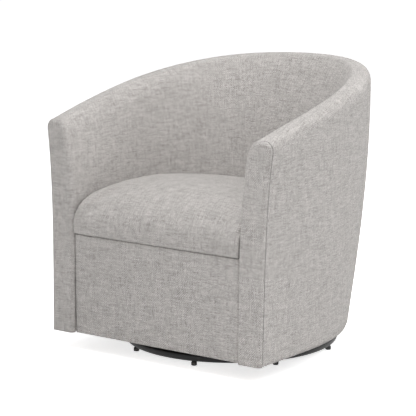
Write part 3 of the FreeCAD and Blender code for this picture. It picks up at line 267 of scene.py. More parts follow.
def plasticMaterial(name, colour, gloss):
    tree = newMaterial(name)
    place = tree.objectPlace()
    pores = tree.cloud(place, 1400.0, 2.0)
    scuff = tree.cloud(place, 90.0, 4.0, 0.7)
    pale = tuple(min(c + 0.06, 1) for c in colour[:3]) + (1,)
    tint = tree.mix((scuff > 0.6) * 0.5, colour, pale)
    return finishMaterial(tree, {}, {
        "Base Color": tint, "Roughness": gloss + 0.2 * scuff, "Normal": tree.bump(pores, 0.0001, 0.5)})


def woodMaterial(name, light, dark, ply=False):
    tree = newMaterial(name)
    place = tree.objectPlace()
    x, y, z = tree.split(place)
    warped = tree.cloud(place, 7.0, 3.0)
    if ply:
        # Veneers seen on the edges, one every millimetre and a half
        layers = (z / 0.0015 + warped * 0.6).arch()
        grain = tree.cloud(tree.vector(x * 6.0, y * 90.0, z * 6.0), 4.0, 4.0)
        rings = layers * 0.35 + grain * 0.65
    else:
        layers = (x * 34.0 + z * 3.0 + warped * 2.4).arch()
        grain = tree.cloud(tree.vector(x * 40.0, y * 2.5, z * 40.0), 4.0, 5.0)
        rings = layers * 0.5 + grain * 0.5
    pores = tree.cloud(tree.vector(x * 400.0, y * 12.0, z * 400.0), 3.0, 2.0)
    tint = tree.add("ShaderNodeValToRGB", {"stops": [(0.2, dark), (0.75, light)]}, {0: rings})
    tint = tree.mix((pores > 0.62) * 0.35, tint, dark)
    return finishMaterial(tree, {}, {
        "Base Color": tint, "Roughness": 0.62 + 0.2 * pores, "Normal": tree.bump(pores + rings, 0.0003, 0.6)})


def feltMaterial(name, light, dark, scale, relief):
    tree = newMaterial(name)
    place = tree.objectPlace()
    x, y, z = tree.split(place)
    fibres = tree.cloud(tree.vector(x + y * 0.4, y - z, z * 0.7), scale, 4.0, 0.8)
    fine = tree.cloud(place, scale * 3.1, 3.0, 0.7)
    tint = tree.add("ShaderNodeValToRGB", {"stops": [(0.3, dark), (0.68, light)]}, {0: fibres * 0.6 + fine * 0.4})
    return finishMaterial(tree, {"Specular IOR Level": 0.2}, {
        "Base Color": tint, "Roughness": 0.85 + 0.1 * fine, "Normal": tree.bump(fine, relief, 0.8)})


cloth = clothMaterial("wovenCloth")
finishes = {
    "woven_fabric": cloth,
    "black_cambric": feltMaterial("dustCloth", (0.035, 0.035, 0.035, 1), (0.01, 0.01, 0.01, 1), 520.0, 0.0002),
    "felt": feltMaterial("seatFelt", (0.42, 0.39, 0.35, 1), (0.2, 0.18, 0.16, 1), 260.0, 0.0006),
    "black_steel": paintedSteel("blackPaint", (0.003, 0.003, 0.0034, 1), 0.34),
    "black_glide": plasticMaterial("blackGlide", (0.012, 0.012, 0.012, 1), 0.45),
    "zinc_steel": platedSteel("zincPlate", (0.62, 0.62, 0.60, 1), 0.25),
    "ball_steel": platedSteel("ballSteel", (0.78, 0.78, 0.78, 1), 0.07),
    "brass_cage": platedSteel("brassCage", (0.72, 0.52, 0.24, 1), 0.28),
    "spring_steel": platedSteel("springWire", (0.34, 0.34, 0.36, 1), 0.30),
    "nylon": plasticMaterial("nylonBush", (0.74, 0.72, 0.66, 1), 0.4),
    "hardwood": woodMaterial("beechRail", (0.56, 0.38, 0.23, 1), (0.36, 0.22, 0.12, 1)),
    "plywood": woodMaterial("birchPly", (0.64, 0.48, 0.31, 1), (0.42, 0.28, 0.16, 1), True),
    "fibreboard": feltMaterial("brownBoard", (0.30, 0.20, 0.12, 1), (0.17, 0.11, 0.065, 1), 420.0, 0.0002),
}
for part in frame["record"]["subparts"]:
    node = frame["nodes"][part["node"]]
    node.data.materials.clear()
    node.data.materials.append(finishes[part["material_slot"]])
print("finishes made:", len(finishes))


# Meshes

def repairNormals(piece):
    # Merges doubled points and turns every face outwards
    work = bmesh.new()
    work.from_mesh(piece.data)
    bmesh.ops.remove_doubles(work, verts=work.verts, dist=0.00001)
    bmesh.ops.recalc_face_normals(work, faces=work.faces)
    work.to_mesh(piece.data)
    work.free()
    piece.data.update()


def addPiece(name, points, faces, material, uv=None, crease=None):
    # uv holds one pair for each corner of each face, the painted seam shade one value for each point
    mesh = bpy.data.meshes.new(name)
    mesh.from_pydata([tuple(p) for p in points], [], faces)
    mesh.update()
    if uv is not None:
        layer = mesh.uv_layers.new(name="weave")
        layer.data.foreach_set("uv", np.asarray(uv, np.float32).ravel())
    values = mesh.attributes.new("crease", "FLOAT", "POINT")
    if crease is not None:
        values.data.foreach_set("value", np.asarray(crease, np.float32))
    mesh.shade_smooth()
    mesh.materials.append(material)
    piece = bpy.data.objects.new(name, mesh)
    scene.collection.objects.link(piece)
    repairNormals(piece)
    return piece


def cornerUv(flat, faces):
    return [flat[corner] for face in faces for corner in face]


def gridFaces(rows, columns, wrapRows=False):
    # Quads between neighbouring rows and columns; a point's number is column * rows + row
    faces = []
    for c in range(columns - 1):
        for r in range(rows if wrapRows else rows - 1):
            s = (r + 1) % rows
            faces.append((c * rows + r, (c + 1) * rows + r, (c + 1) * rows + s, c * rows + s))
    return faces


def sheetFaces(rows, columns):
    # Quads where a point's number is row * columns + column
    starts = [i * columns + j for i in range(rows - 1) for j in range(columns - 1)]
    return [(n, n + 1, n + columns + 1, n + columns) for n in starts]


def gridRing(rows, columns):
    # Numbers of the points round the rim of such a grid, in order
    ring = [(0, j) for j in range(columns)] + [(i, columns - 1) for i in range(1, rows)]
    ring += [(rows - 1, j) for j in range(columns - 2, -1, -1)] + [(i, 0) for i in range(rows - 2, 0, -1)]
    return [i * columns + j for i, j in ring]


def lengthAlong(line):
    steps = np.linalg.norm(np.diff(np.asarray(line, float), axis=0), axis=1)
    return np.concatenate([[0], np.cumsum(steps)])


def resample(line, count):
    # The same line with evenly spaced points
    line = np.asarray(line, float)
    run = lengthAlong(line)
    wanted = np.linspace(0, run[-1], count)
    return np.stack([np.interp(wanted, run, line[:, i]) for i in range(line.shape[1])], 1)


def soften(line, passes):
    line = np.array(line, float)
    for step in range(passes):
        line[1:-1] = (line[:-2] + 2 * line[1:-1] + line[2:]) / 4
    return line


def roundOff(distance, radius):
    # How far a rounded edge lies below the surface at some distance from the edge
    near = np.clip(radius - np.asarray(distance, float), 0, radius)
    return radius - np.sqrt(radius * radius - near * near)


# The barrel: arms and back in one

barrel = {
    "hem": 0.053, "top": 0.775, "armTop": 0.642, "crestPower": 1.4,
    "frontFace": -0.402, "backFace": 0.402, "frontLean": 0.0138, "shoulder": -0.1755,
    "sideWidth": 0.352, "sideFlare": 0.029,
    "frontWidth": 0.350, "frontFlare": 0.0048, "frontKick": 0.0485,
    "backReach": 0.4785, "backFlare": 0.237, "backTuck": 0.142, "roundness": 2.1,
    "outerRound": 0.027, "innerRound": 0.043, "crestOuter": 0.022, "crestInner": 0.049,
    "armThick": 0.075, "backThick": 0.090, "armBulge": 0.002, "backBulge": 0.008,
    "seatHalf": 0.280, "seatCentre": -0.1245, "seatLevel": 0.430, "draw": 0.0035, "cushionLow": 0.331,
    "cover": 0.005, "armPad": 0.018, "backPad": 0.040, "padLow": 0.323,
    "panel": 0.0143,           # arm front panel with its gap
    "panelRound": 0.011, "panelGap": 0.0003,
    "panelPoints": 220, "panelFade": (104, 112),  # points round a panel, and where its seam fades out
    "seamRound": 0.0018,       # rounding of the cloth on both sides of a seam
    "seamShade": 0.0011,
    "split": 38,               # angle of the upright seams of the outside back
    "splitPitch": 0.0066,      # metres of hem for each degree there
    "hemRound": 0.003,
    "uneven": 0.0006, "unevenSize": 0.11,  # hand-made unevenness of the padding
    "tuck": 0.004,             # the wall's cloth ends this far above the pad's foot
}


# Points of a cut on its outer face, its crest and its inner wall
faceRows, crestRows, wallRows = 62, 30, 44


def level(z):
    return (z - barrel["hem"]) / (barrel["top"] - barrel["hem"])


def sideReach(z):
    return barrel["sideWidth"] + barrel["sideFlare"] * level(z)


def backReach(z):
    return barrel["backReach"] + barrel["backFlare"] * level(z) - barrel["backTuck"] * level(z) ** 2


def frontReach(z):
    return barrel["frontWidth"] + barrel["frontFlare"] * level(z) + barrel["frontKick"] * level(z) ** 4


class Cut:
    # One upright cut through the wall. share runs from 0 at the shoulder to 1 at the
    # arm front, angle from 0 at the shoulder to 90 in the middle of the back
    def __init__(self, share=None, angle=0.0, side=1):
        b = barrel
        self.side, self.share, self.angle = side, share, angle
        if share is not None:
            front = b["frontFace"] + b["panel"]
            self.x, self.y = b["sideWidth"], b["shoulder"] + (front - b["shoulder"]) * share
            self.outX, self.outY, self.lean = 1.0, 0.0, b["frontLean"] * share
        else:
            turn, power = math.radians(angle), 2 / b["roundness"]
            self.across, self.along = max(math.cos(turn), 0) ** power, math.sin(turn) ** power
            self.x = b["sideWidth"] * self.across
            self.y = b["shoulder"] + b["backReach"] * self.along
            slopeX = self.across ** (b["roundness"] - 1) / b["sideWidth"]
            slopeY = self.along ** (b["roundness"] - 1) / b["backReach"]
            steep = math.hypot(slopeX, slopeY)
            self.outX, self.outY, self.lean = slopeX / steep, slopeY / steep, 0.0
        self.crest = self.findCrest()

    def place(self, out, z):
        x = self.side * (self.x + self.outX * out)
        return np.stack([x + 0 * z, self.y + self.outY * out + self.lean * level(z), z + 0 * out], -1)

    def outer(self, z):
        if self.share is not None:
            return sideReach(z) + (frontReach(z) - sideReach(z)) * self.share ** 2 - self.x
        wider = (sideReach(z) - barrel["sideWidth"]) * self.across
        deeper = (backReach(z) - barrel["backReach"]) * self.along
        return wider * self.outX + deeper * self.outY

    def findCrest(self):
        z = barrel["armTop"]
        start = barrel["frontFace"] + barrel["panel"] + level(z) * barrel["frontLean"]
        middle = (barrel["crestOuter"] + barrel["crestInner"]) / 2
        for step in range(4):
            y = self.y + self.outY * (self.outer(z) - middle) + self.lean * level(z)
            climb = min(max((y - start) / (barrel["backFace"] - start), 0), 1)
            z = barrel["armTop"] + (barrel["top"] - barrel["armTop"]) * (1 - (1 - climb) ** barrel["crestPower"])
        return z

    def mixed(self, onArm, onBack):
        return onArm + (onBack - onArm) * self.outY ** 2

    def innerSeat(self):
        radius, centre = barrel["seatHalf"], barrel["seatCentre"]
        straight = (radius - self.x) / self.outX if self.outX > 0.05 else 0
        if self.outX > 0.05 and self.y + self.outY * straight <= centre:
            return straight
        dx, dy = self.x, self.y - centre
        along = dx * self.outX + dy * self.outY
        return math.sqrt(along ** 2 - dx ** 2 - dy ** 2 + radius ** 2) - along

    def inner(self, z):
        b = barrel
        foot, top = self.innerSeat(), self.crest - b["innerRound"]
        head = self.outer(self.crest - b["outerRound"]) - self.mixed(b["armThick"], b["backThick"])
        below = foot - b["draw"] * (b["seatLevel"] - z) / (b["seatLevel"] - b["cushionLow"])
        rise = (z - b["seatLevel"]) / (top - b["seatLevel"])
        above = foot + (head - foot) * rise - self.mixed(b["armBulge"], b["backBulge"]) * 4 * rise * (1 - rise)
        return np.where(z <= b["seatLevel"], below, above)

    def crestLine(self):
        # (out, z) from the outer face over the crest to the inner face
        b = barrel
        low, foot = self.crest - b["outerRound"], self.crest - b["innerRound"]
        face = self.outer(low)
        turn = np.linspace(0, math.pi / 2, 20)
        outer = np.stack([face - b["crestOuter"] * (1 - np.cos(turn)), low + b["outerRound"] * np.sin(turn)], 1)
        hip, end = face - b["crestInner"], float(self.inner(foot))
        share = np.linspace(0, 1, 20)
        inner = np.stack([hip + (end - hip) * (0.32 * share + 0.68 * share ** 1.1),
                          self.crest - 0.001 - (b["innerRound"] - 0.001) * share ** 1.75], 1)
        return np.concatenate([outer, inner])

    def face(self, low):
        # The cloth seen from outside and inside: hem, outer face, crest, inner wall
        b = barrel
        shoulder, foot = self.crest - b["outerRound"], self.crest - b["innerRound"]
        upward, downward = np.linspace(b["hem"], shoulder, 60), np.linspace(foot, low, 60)
        line = np.concatenate([
            np.stack([self.outer(upward), upward], 1), self.crestLine()[1:-1],
            np.stack([self.inner(downward), downward], 1)])
        length = lengthAlong(line)[-1]
        fine = soften(resample(line, int(length / 0.0015)), 10)
        run = lengthAlong(fine)
        first = run[np.argmin(np.linalg.norm(fine - [self.outer(shoulder), shoulder], axis=1))]
        last = run[np.argmin(np.linalg.norm(fine - [float(self.inner(foot)), foot], axis=1))]
        wanted = np.concatenate([
            np.linspace(0, first, faceRows, endpoint=False), np.linspace(first, last, crestRows, endpoint=False),
            np.linspace(last, run[-1], wallRows)])
        return np.stack([np.interp(wanted, run, fine[:, i]) for i in (0, 1)], 1), wanted


def lineNormals(line):
    # Left-hand normals of a line in its plane
    step = np.gradient(line, axis=0)
    step /= np.maximum(np.linalg.norm(step, axis=1), 1e-9)[:, None]
    return np.stack([-step[:, 1], step[:, 0]], 1)


def seamCut(distance, weight):
    return roundOff(distance, barrel["seamRound"]) * weight


def barrelCuts():
    # Cuts from the right arm front round the back to the left one, each with its distance
    # from the seam of the arm front and from the upright seam of the outside back
    depth = barrel["shoulder"] - barrel["frontFace"] - barrel["panel"]
    near = [0, 0.0003, 0.0008, 0.0015, 0.0024, 0.0040, 0.0065, 0.010]
    far = list(depth * (1 - np.linspace(1 - 0.016 / depth, 0.02, 26)))
    arm = [(Cut(share=1 - n / depth), n, 1) for n in near + far]
    split, pitch = barrel["split"], barrel["splitPitch"]
    beside = [0.0003, 0.0009, 0.0016, 0.0030]
    angles = [a for a in np.linspace(0, 90, 66) if abs(a - split) > 0.9]
    angles += [split] + [split + sign * n / pitch for n in beside for sign in (-1, 1)]
    right = arm + [(Cut(angle=a), 1, abs(a - split) * pitch) for a in sorted(angles)]
    left = [(Cut(cut.share, cut.angle, -1), front, back) for cut, front, back in right[-2::-1]]
    return right + left


def unevenness(points, size, depth, seed):
    # Slow swells as in hand-laid wadding
    return np.array([depth * noise.noise(Vector(p) / size + Vector((seed, seed * 2, seed * 3))) for p in points])


def barrelLoop(cut, fromFront, fromSplit, frontWeight, splitWeight):
    # One closed line round the wall: the cloth seen, the back of the padding and the lining
    b = barrel
    line, run = cut.face(b["padLow"] + b["tuck"])
    inset = seamCut(fromFront, frontWeight) + 0.8 * seamCut(fromSplit, splitWeight)
    line = line + lineNormals(line) * inset[:, None]
    line[:faceRows, 0] -= roundOff(line[:, 1] - b["hem"], b["hemRound"])[:faceRows]
    wallTop, padTop = cut.crest - b["outerRound"] - 0.0006, cut.crest - b["innerRound"]
    climb = np.linspace(b["padLow"], wallTop, 10)
    slope = (float(cut.inner(padTop)) - cut.innerSeat()) / (padTop - b["seatLevel"])
    padBack = cut.inner(climb) + cut.mixed(b["armPad"], b["backPad"]) * math.hypot(1, slope)
    back = np.stack([padBack, climb], 1)
    back[0, 0] -= b["tuck"]
    down = np.linspace(wallTop, b["hem"] + 0.0005, 14)
    lining = np.stack([cut.outer(down) - b["cover"], down], 1)
    return np.concatenate([line, back, lining]), run


def barrelUv(faces, ends, grid, runs):
    # Two lengths round the plan: one along the outer face and one along the crest
    count, rows = grid.shape[:2]
    foot, shown = faceRows + crestRows, faceRows + crestRows + wallRows
    outerRun = lengthAlong(grid[:, faceRows // 2, :2])
    crestRun = lengthAlong(grid[:, faceRows + crestRows // 2, :2])
    outerRun, crestRun = outerRun - outerRun.max() / 2, crestRun - crestRun.max() / 2
    heights = np.zeros((count, rows))
    for c, run in enumerate(runs):
        climbed = grid[c, foot, 2] + run[foot] - run
        heights[c, :shown] = np.where(np.arange(shown) < foot, climbed, grid[c, :shown, 2])
    uv = []
    for face in faces:
        onFace = min(corner % rows for corner in face) < faceRows
        for corner in face:
            c, r = divmod(corner, rows)
            uv.append((outerRun[c], grid[c, r, 2]) if onFace else (crestRun[c], heights[c, r]))
    for end in ends:
        uv += [(0.0, grid[corner // rows, corner % rows, 2]) for corner in end]
    return uv


def makeBarrel():
    b = barrel
    cuts, fromFront, fromSplit = zip(*barrelCuts())
    shown, row = faceRows + crestRows + wallRows, np.arange(faceRows + crestRows + wallRows)
    # The front seam runs up the outer edge and over the crest, and ends before the inner wall
    frontWeight = np.clip((faceRows + 0.72 * crestRows - row) / (0.3 * crestRows), 0, 1)
    splitWeight = np.clip((faceRows - 1 - row) / 4, 0, 1)
    columns, runs = [], []
    for cut, front, split in zip(cuts, fromFront, fromSplit):
        loop, run = barrelLoop(cut, front, split, frontWeight, splitWeight)
        columns.append(cut.place(loop[:, 0], loop[:, 1]))
        runs.append(run)
    points, count, rows = np.concatenate(columns), len(columns), len(columns[0])
    faces = gridFaces(rows, count, True)
    ends = [tuple(range(rows))[::-1], tuple(range((count - 1) * rows, count * rows))]
    uv = barrelUv(faces, ends, points.reshape(count, rows, 3), runs)

    offsets = unevenness(points, b["unevenSize"], b["uneven"], 4.0)
    calm = np.repeat(np.clip(np.array(fromFront) / 0.03 - 0.2, 0, 1)[:, None], rows, 1)
    calm[:, :3] = 0
    calm[:, shown - 2:] = 0
    points = points + pieceNormals(points, faces) * (offsets * calm.ravel())[:, None]

    # Painted shade in the seams: darkest along the arm-front seam, lighter along the upright seams of the back
    crease = np.zeros((count, rows))
    for number in range(count):
        front = math.exp(-(fromFront[number] / b["seamShade"]) ** 2)
        back = 0.7 * math.exp(-(fromSplit[number] / b["seamShade"]) ** 2)
        crease[number, :shown] = front * frontWeight + back * splitWeight
    return addPiece("barrel_cover", points, faces + ends, cloth, uv, crease.ravel())


def pieceNormals(points, faces):
    mesh = bpy.data.meshes.new("measure")
    mesh.from_pydata([tuple(p) for p in points], [], faces)
    normals = np.zeros(len(points) * 3, np.float32)
    mesh.vertex_normals.foreach_get("vector", normals)
    bpy.data.meshes.remove(mesh)
    return normals.reshape(-1, 3).astype(float)


barrelCover = makeBarrel()
print("barrel cover:", len(barrelCover.data.polygons), "faces")


# Arm fronts

def makeArmFront(side):
    b = barrel
    cut = Cut(share=1.0, side=side)
    line = cut.face(b["cushionLow"])[0]
    lower = np.linspace(b["cushionLow"], b["hem"], 30)[1:]
    line = np.concatenate([line, np.stack([np.full(len(lower), line[-1, 0]), lower], 1)])
    rows = b["panelPoints"]
    outline = resample(line, rows)
    inward = lineNormals(outline)
    weight = np.interp(np.arange(rows), [0, *b["panelFade"], rows], [1, 1, 0, 0])
    # From the seam forward: the cloth's own rounding, a short side, then the front's rounding
    straight = b["panel"] - b["panelGap"] - b["panelRound"]
    rings = [(seamCut(forward, weight), forward, forward) for forward in (0, 0.0003, 0.0008, 0.0015, 0.0022)]
    for turn in np.linspace(0, math.pi / 2, 9):
        inset = np.full(rows, b["panelRound"] * (1 - math.cos(turn)))
        rings.append((inset, straight + b["panelRound"] * math.sin(turn), straight + b["panelRound"] * turn))
    whole = rings[-1][2]
    points, flat, crease = [], [], []
    for inset, forward, travelled in rings:
        ring = outline + inward * inset[:, None]
        place = cut.place(ring[:, 0], ring[:, 1])
        place[:, 1] -= forward + b["panelGap"]
        points.extend(place)
        unrolled = outline + inward * (b["panelRound"] - whole + travelled)
        flat.extend(np.stack([side * (cut.x + unrolled[:, 0]), unrolled[:, 1]], 1))
        # Painted shade along the panel's seam, fading out where the seam does
        crease.extend(np.exp(-(forward / b["seamShade"]) ** 2) * weight)
    count = len(rings)
    faces = gridFaces(rows, count)
    # Rungs across the flat front, from the outer side to the inner side
    half, across = rows // 2, 10
    last = (count - 1) * rows
    rung = {}
    for k in range(half):
        start, end = last + k, last + rows - 1 - k
        rung[k, 0], rung[k, across] = start, end
        for j in range(1, across):
            rung[k, j] = len(points)
            points.append(points[start] + (points[end] - points[start]) * j / across)
            flat.append(flat[start] + (flat[end] - flat[start]) * j / across)
            crease.append(0.0)
    for k in range(half - 1):
        for j in range(across):
            faces.append((rung[k, j], rung[k + 1, j], rung[k + 1, j + 1], rung[k, j + 1]))
    faces.append(tuple(rung[half - 1, j] for j in range(across + 1)))
    # Back and foot
    faces.append(tuple(range(rows)))
    foot = [c * rows for c in range(count)] + [rung[0, j] for j in range(1, across)]
    faces.append(tuple(foot + [c * rows + rows - 1 for c in range(count - 1, -1, -1)]))
    name = "arm_panel_" + ("right" if side > 0 else "left")
    return addPiece(name, points, faces, cloth, cornerUv(flat, faces), crease)


armFronts = [makeArmFront(side) for side in (1, -1)]
print("arm fronts made")


# Seat cushion

cushion = {
    "front": -0.3945, "low": 0.331, "nose": 0.363, "edge": 0.445, "roll": 0.165,
    "half": 0.2757, "centre": -0.1245, "back": 0.2755, "drop": 0.027,
    "crown": 0.036, "rim": 0.014, "corner": 0.005,
    "rows": 70, "columns": 72, "sideRows": 9,
    "lift": 0.002,              # least rise of the top, added to the crown
    "frontEdge": 0.0005,        # points this near to the front belong to the front face
    "slack": 0.55, "pressure": 3.0, "cap": 0.008,
    "held": 0.04, "heldFade": 0.02, "backFade": 0.9,
}


def rollHeight(depth):
    roll = np.clip(depth / cushion["roll"], 0, 1)
    return cushion["nose"] + (cushion["edge"] - cushion["nose"]) * (1 - (1 - roll) ** 2) ** (1 / 3)


def frontRoll(count):
    # (y, z) evenly spaced from the nose over the roll to the middle of the seat
    depth = (1 - np.cos(np.linspace(0, math.pi / 2, 200))) * cushion["roll"]
    line = np.stack([cushion["front"] + depth, rollHeight(depth)], 1)
    line = np.concatenate([line, [[cushion["centre"], cushion["edge"]]]])
    line = resample(line, count)
    return line, lengthAlong(line)


def roundPlan(a, q, half, back):
    # Draws a square grid out to the round back of the seat
    return half * a * math.sqrt(1 - q * q / 2), cushion["centre"] + back * q * math.sqrt(1 - a * a / 2)


def cushionTop(fill):
    # Square grid laid over the plan: straight in front, round behind
    c = cushion
    frontCount = c["rows"] // 2 + 1
    line, run = frontRoll(frontCount)
    backCount = c["rows"] - frontCount
    points, uv = [], []
    for i in range(c["rows"]):
        for j in range(c["columns"]):
            a = -1 + 2 * j / (c["columns"] - 1)
            if i < frontCount:
                y, z, v = line[i, 0], line[i, 1], run[i] - run[-1]
                x = c["half"] * a
            else:
                q = (i - frontCount + 1) / backCount
                x, y = roundPlan(a, q, c["half"], c["back"])
                z, v = c["edge"], y - c["centre"]
            back = max((y - c["centre"]) / c["back"], 0)
            z -= c["drop"] * min(back, 1) ** 2
            behind = max(y - c["centre"], 0)
            wide = math.sqrt(max(c["half"] ** 2 - behind ** 2, 1e-8))
            across = min(abs(x) / wide, 1)
            spread = min((y - c["front"]) / c["roll"], 1)
            narrow = wide / c["half"]
            z += fill * (c["lift"] + c["crown"] * math.sqrt(max(spread, 0)) * narrow ** 2) * (1 - across ** 2)
            inFrom = max(c["half"] - math.hypot(x, behind), 0)
            z -= float(roundOff(inFrom, c["rim"])) * 0.9
            points.append((x, y, z))
            uv.append((x, v))
    return np.array(points), np.array(uv)


def makeCushion(fill):
    c = cushion
    top, topUv = cushionTop(fill)
    rows, columns = c["rows"], c["columns"]
    points, flat = list(top), list(topUv)
    quads = sheetFaces(rows, columns)
    faces = list(quads)
    ring = previous = gridRing(rows, columns)
    for step in range(1, c["sideRows"] + 1):
        share = step / c["sideRows"]
        current = []
        for k, number in enumerate(ring):
            x, y, z = top[number]
            height = z + (c["low"] - z) * share
            inset = float(roundOff(height - c["low"], c["corner"]))
            u, v = topUv[number]
            if y < c["front"] + c["frontEdge"]:
                corner = abs(x) >= c["half"] - 0.001
                outward = Vector((math.copysign(0.7, x), -0.7, 0)) if corner else Vector((0, -1, 0))
                flat.append((x, v - (z - height)))
            else:
                outward = Vector((x, max(y - c["centre"], 0), 0)).normalized()
                flat.append((u + math.copysign(z - height, x), v))
            current.append(len(points))
            points.append((x - outward.x * inset, y - outward.y * inset, height))
        for k in range(len(ring)):
            m = (k + 1) % len(ring)
            faces.append((previous[k], current[k], current[m], previous[m]))
        previous = current
    # Underside: the same grid as the top, flat and slightly smaller
    numbers = dict(zip(ring, previous))
    shrink = 1 - c["corner"] / c["half"]
    for i in range(1, rows - 1):
        for j in range(1, columns - 1):
            x, y, z = top[i * columns + j]
            numbers[i * columns + j] = len(points)
            points.append((x * shrink, c["front"] + c["corner"] + (y - c["front"]) * shrink, c["low"]))
            flat.append((x, -y))
    faces += [tuple(numbers[quad[k]] for k in (0, 3, 2, 1)) for quad in quads]
    return addPiece("seat_cushion_cover", points, faces, cloth, cornerUv(flat, faces))


# How stiff the cover is while it swells
cover = {
    "quality": 6, "mass": 0.3, "tension_stiffness": 18, "compression_stiffness": 18, "shear_stiffness": 8,
    "bending_stiffness": 2.5, "air_damping": 4, "use_pressure": True,
}


def swell(piece, pinned, pressure, cap, frames=20):
    # Blows the padding up as cloth, keeps every point within cap of where it was
    rest = np.array([v.co for v in piece.data.vertices], float)
    group = piece.vertex_groups.new(name="held")
    for number, weight in enumerate(pinned):
        if weight > 0:
            group.add([number], float(weight), "REPLACE")
    modifier = piece.modifiers.new("swell", "CLOTH")
    settings = modifier.settings
    for name, value in cover.items():
        setattr(settings, name, value)
    settings.uniform_pressure_force = pressure
    settings.vertex_group_mass = group.name
    settings.effector_weights.gravity = 0
    modifier.collision_settings.use_collision = False
    modifier.point_cache.frame_start, modifier.point_cache.frame_end = 1, frames
    for number in range(1, frames + 1):
        scene.frame_set(number)
    graph = bpy.context.evaluated_depsgraph_get()
    shaped = piece.evaluated_get(graph).to_mesh()
    moved = np.array([v.co for v in shaped.vertices], float) - rest
    piece.evaluated_get(graph).to_mesh_clear()
    piece.modifiers.remove(modifier)
    piece.vertex_groups.clear()
    scene.frame_set(1)
    length = np.linalg.norm(moved, axis=1)
    moved *= np.minimum(1, cap / np.maximum(length, 1e-9))[:, None]
    for vertex, place in zip(piece.data.vertices, rest + moved):
        vertex.co = place
    piece.data.update()
    return length.max(), np.abs(moved).max(0)


seatCushion = makeCushion(cushion["slack"])
print("seat cushion made")


# Apron

apron = {
    "half": 0.2763, "front": -0.390, "low": 0.053, "high": 0.3302, "thick": 0.014,
    "round": 0.008, "topRound": 0.003, "puff": 0.0012, "ripple": 0.0005,
    "flange": 0.0100, "flangeEnd": 0.03,  # edge tucked behind the arm fronts, and its distance from the top
    "columns": 68, "rows": 30,            # even steps between the rounded edges
}


def edgeSteps(length, radius, turns, inside, count):
    # Places over a slab: dense over its rounded edges, even between them
    edge = np.concatenate([[0, 0], radius * (1 - np.cos(np.linspace(0, math.pi / 2, turns)))])
    return np.concatenate([edge, np.linspace(inside, length - inside, count), length - edge[::-1]])


def makeApron():
    # A pillow-like slab: grid over the front, folded back at its edges
    a = apron
    width, height = a["half"] * 2, a["high"] - a["low"]
    across = edgeSteps(width, a["round"], 9, 0.02, a["columns"])
    upward = edgeSteps(height, a["topRound"], 7, 0.014, a["rows"])
    points, uv = [], []
    columns, rows = len(across), len(upward)
    for c, s in enumerate(across):
        for r, t in enumerate(upward):
            side = float(roundOff(min(s, width - s), a["round"]))
            end = float(roundOff(min(t, height - t), a["topRound"]))
            depth = max(side, end)
            if c in (0, columns - 1) or r in (0, rows - 1):
                depth = a["thick"]
            bell = math.sin(math.pi * s / width) * math.sin(math.pi * t / height)
            x, z = s - a["half"], a["low"] + t
            if c in (0, columns - 1) and t < height - a["flangeEnd"]:
                x += math.copysign(a["flange"], x)
            wave = a["puff"] * bell + a["ripple"] * noise.noise(Vector((x * 9, z * 11, 3.3))) * bell
            points.append((x, a["front"] + depth - wave, z))
            uv.append((x + math.copysign(side, x), z))
    faces = [tuple(reversed(face)) for face in gridFaces(rows, columns)]
    faces.append(tuple(gridRing(columns, rows)))
    return addPiece("front_apron_cover", points, faces, cloth, cornerUv(uv, faces))


frontApron = makeApron()
print("apron made")


# Round base ring, by Geometry Nodes

base = {"axis": (0, -0.040), "radius": 0.287, "tube": 0.0125, "height": 0.024}


def groupWith(name, sizes):
    # A Geometry Nodes group with named sizes; gives its tree and the wire of its inputs
    group = bpy.data.node_groups.new(name, "GeometryNodeTree")
    group.interface.new_socket("Geometry", in_out="INPUT", socket_type="NodeSocketGeometry")
    for label, value in sizes.items():
        socket = group.interface.new_socket(label, in_out="INPUT", socket_type="NodeSocketFloat")
        socket.default_value = value
    group.interface.new_socket("Geometry", in_out="OUTPUT", socket_type="NodeSocketGeometry")
    tree = Tree(group)
    return group, tree, tree.add("NodeGroupInput")


def endGroup(tree, geometry, material):
    real = tree.add("GeometryNodeRealizeInstances", None, {"Geometry": geometry})
    painted = tree.add("GeometryNodeSetMaterial", None, {"Geometry": real, "Material": material})
    tree.add("NodeGroupOutput", None, {0: painted})


def grow(name, group, sizes, start=None):
    # Runs the group on an object and keeps the plain mesh that comes out
    holder = bpy.data.objects.new(name + "_holder", start or bpy.data.meshes.new(name + "_start"))
    scene.collection.objects.link(holder)
    modifier = holder.modifiers.new("grow", "NODES")
    modifier.node_group = group
    for item in group.interface.items_tree:
        if item.item_type == "SOCKET" and item.in_out == "INPUT" and item.name in sizes:
            modifier[item.identifier] = sizes[item.name]
    graph = bpy.context.evaluated_depsgraph_get()
    mesh = bpy.data.meshes.new_from_object(holder.evaluated_get(graph), depsgraph=graph)
    holder.modifiers.remove(modifier)
    bpy.data.objects.remove(holder)
    mesh.name = name
    piece = bpy.data.objects.new(name, mesh)
    scene.collection.objects.link(piece)
    return piece


def makeBaseRing():
    sizes = {"Ring radius": base["radius"], "Tube radius": base["tube"], "Height": base["height"]}
    group, tree, given = groupWith("baseRing", sizes)
    circle, tube = [
        tree.add("GeometryNodeCurvePrimitiveCircle", None, {"Resolution": count, "Radius": given.out(size)})
        for count, size in ((160, "Ring radius"), (28, "Tube radius"))]
    ring = tree.add("GeometryNodeCurveToMesh", None, {"Curve": circle, "Profile Curve": tube})
    offset = tree.vector(base["axis"][0], base["axis"][1], given.out("Height"))
    moved = tree.add("GeometryNodeTransform", None, {"Geometry": ring, "Translation": offset})
    endGroup(tree, tree.add("GeometryNodeSetShadeSmooth", None, {"Geometry": moved}), finishes["black_steel"])
    piece = grow("base_ring_tube", group, sizes)
    repairNormals(piece)
    return piece


baseRing = makeBaseRing()
print("base ring made")


# Seat deck, dust cloth and its staples

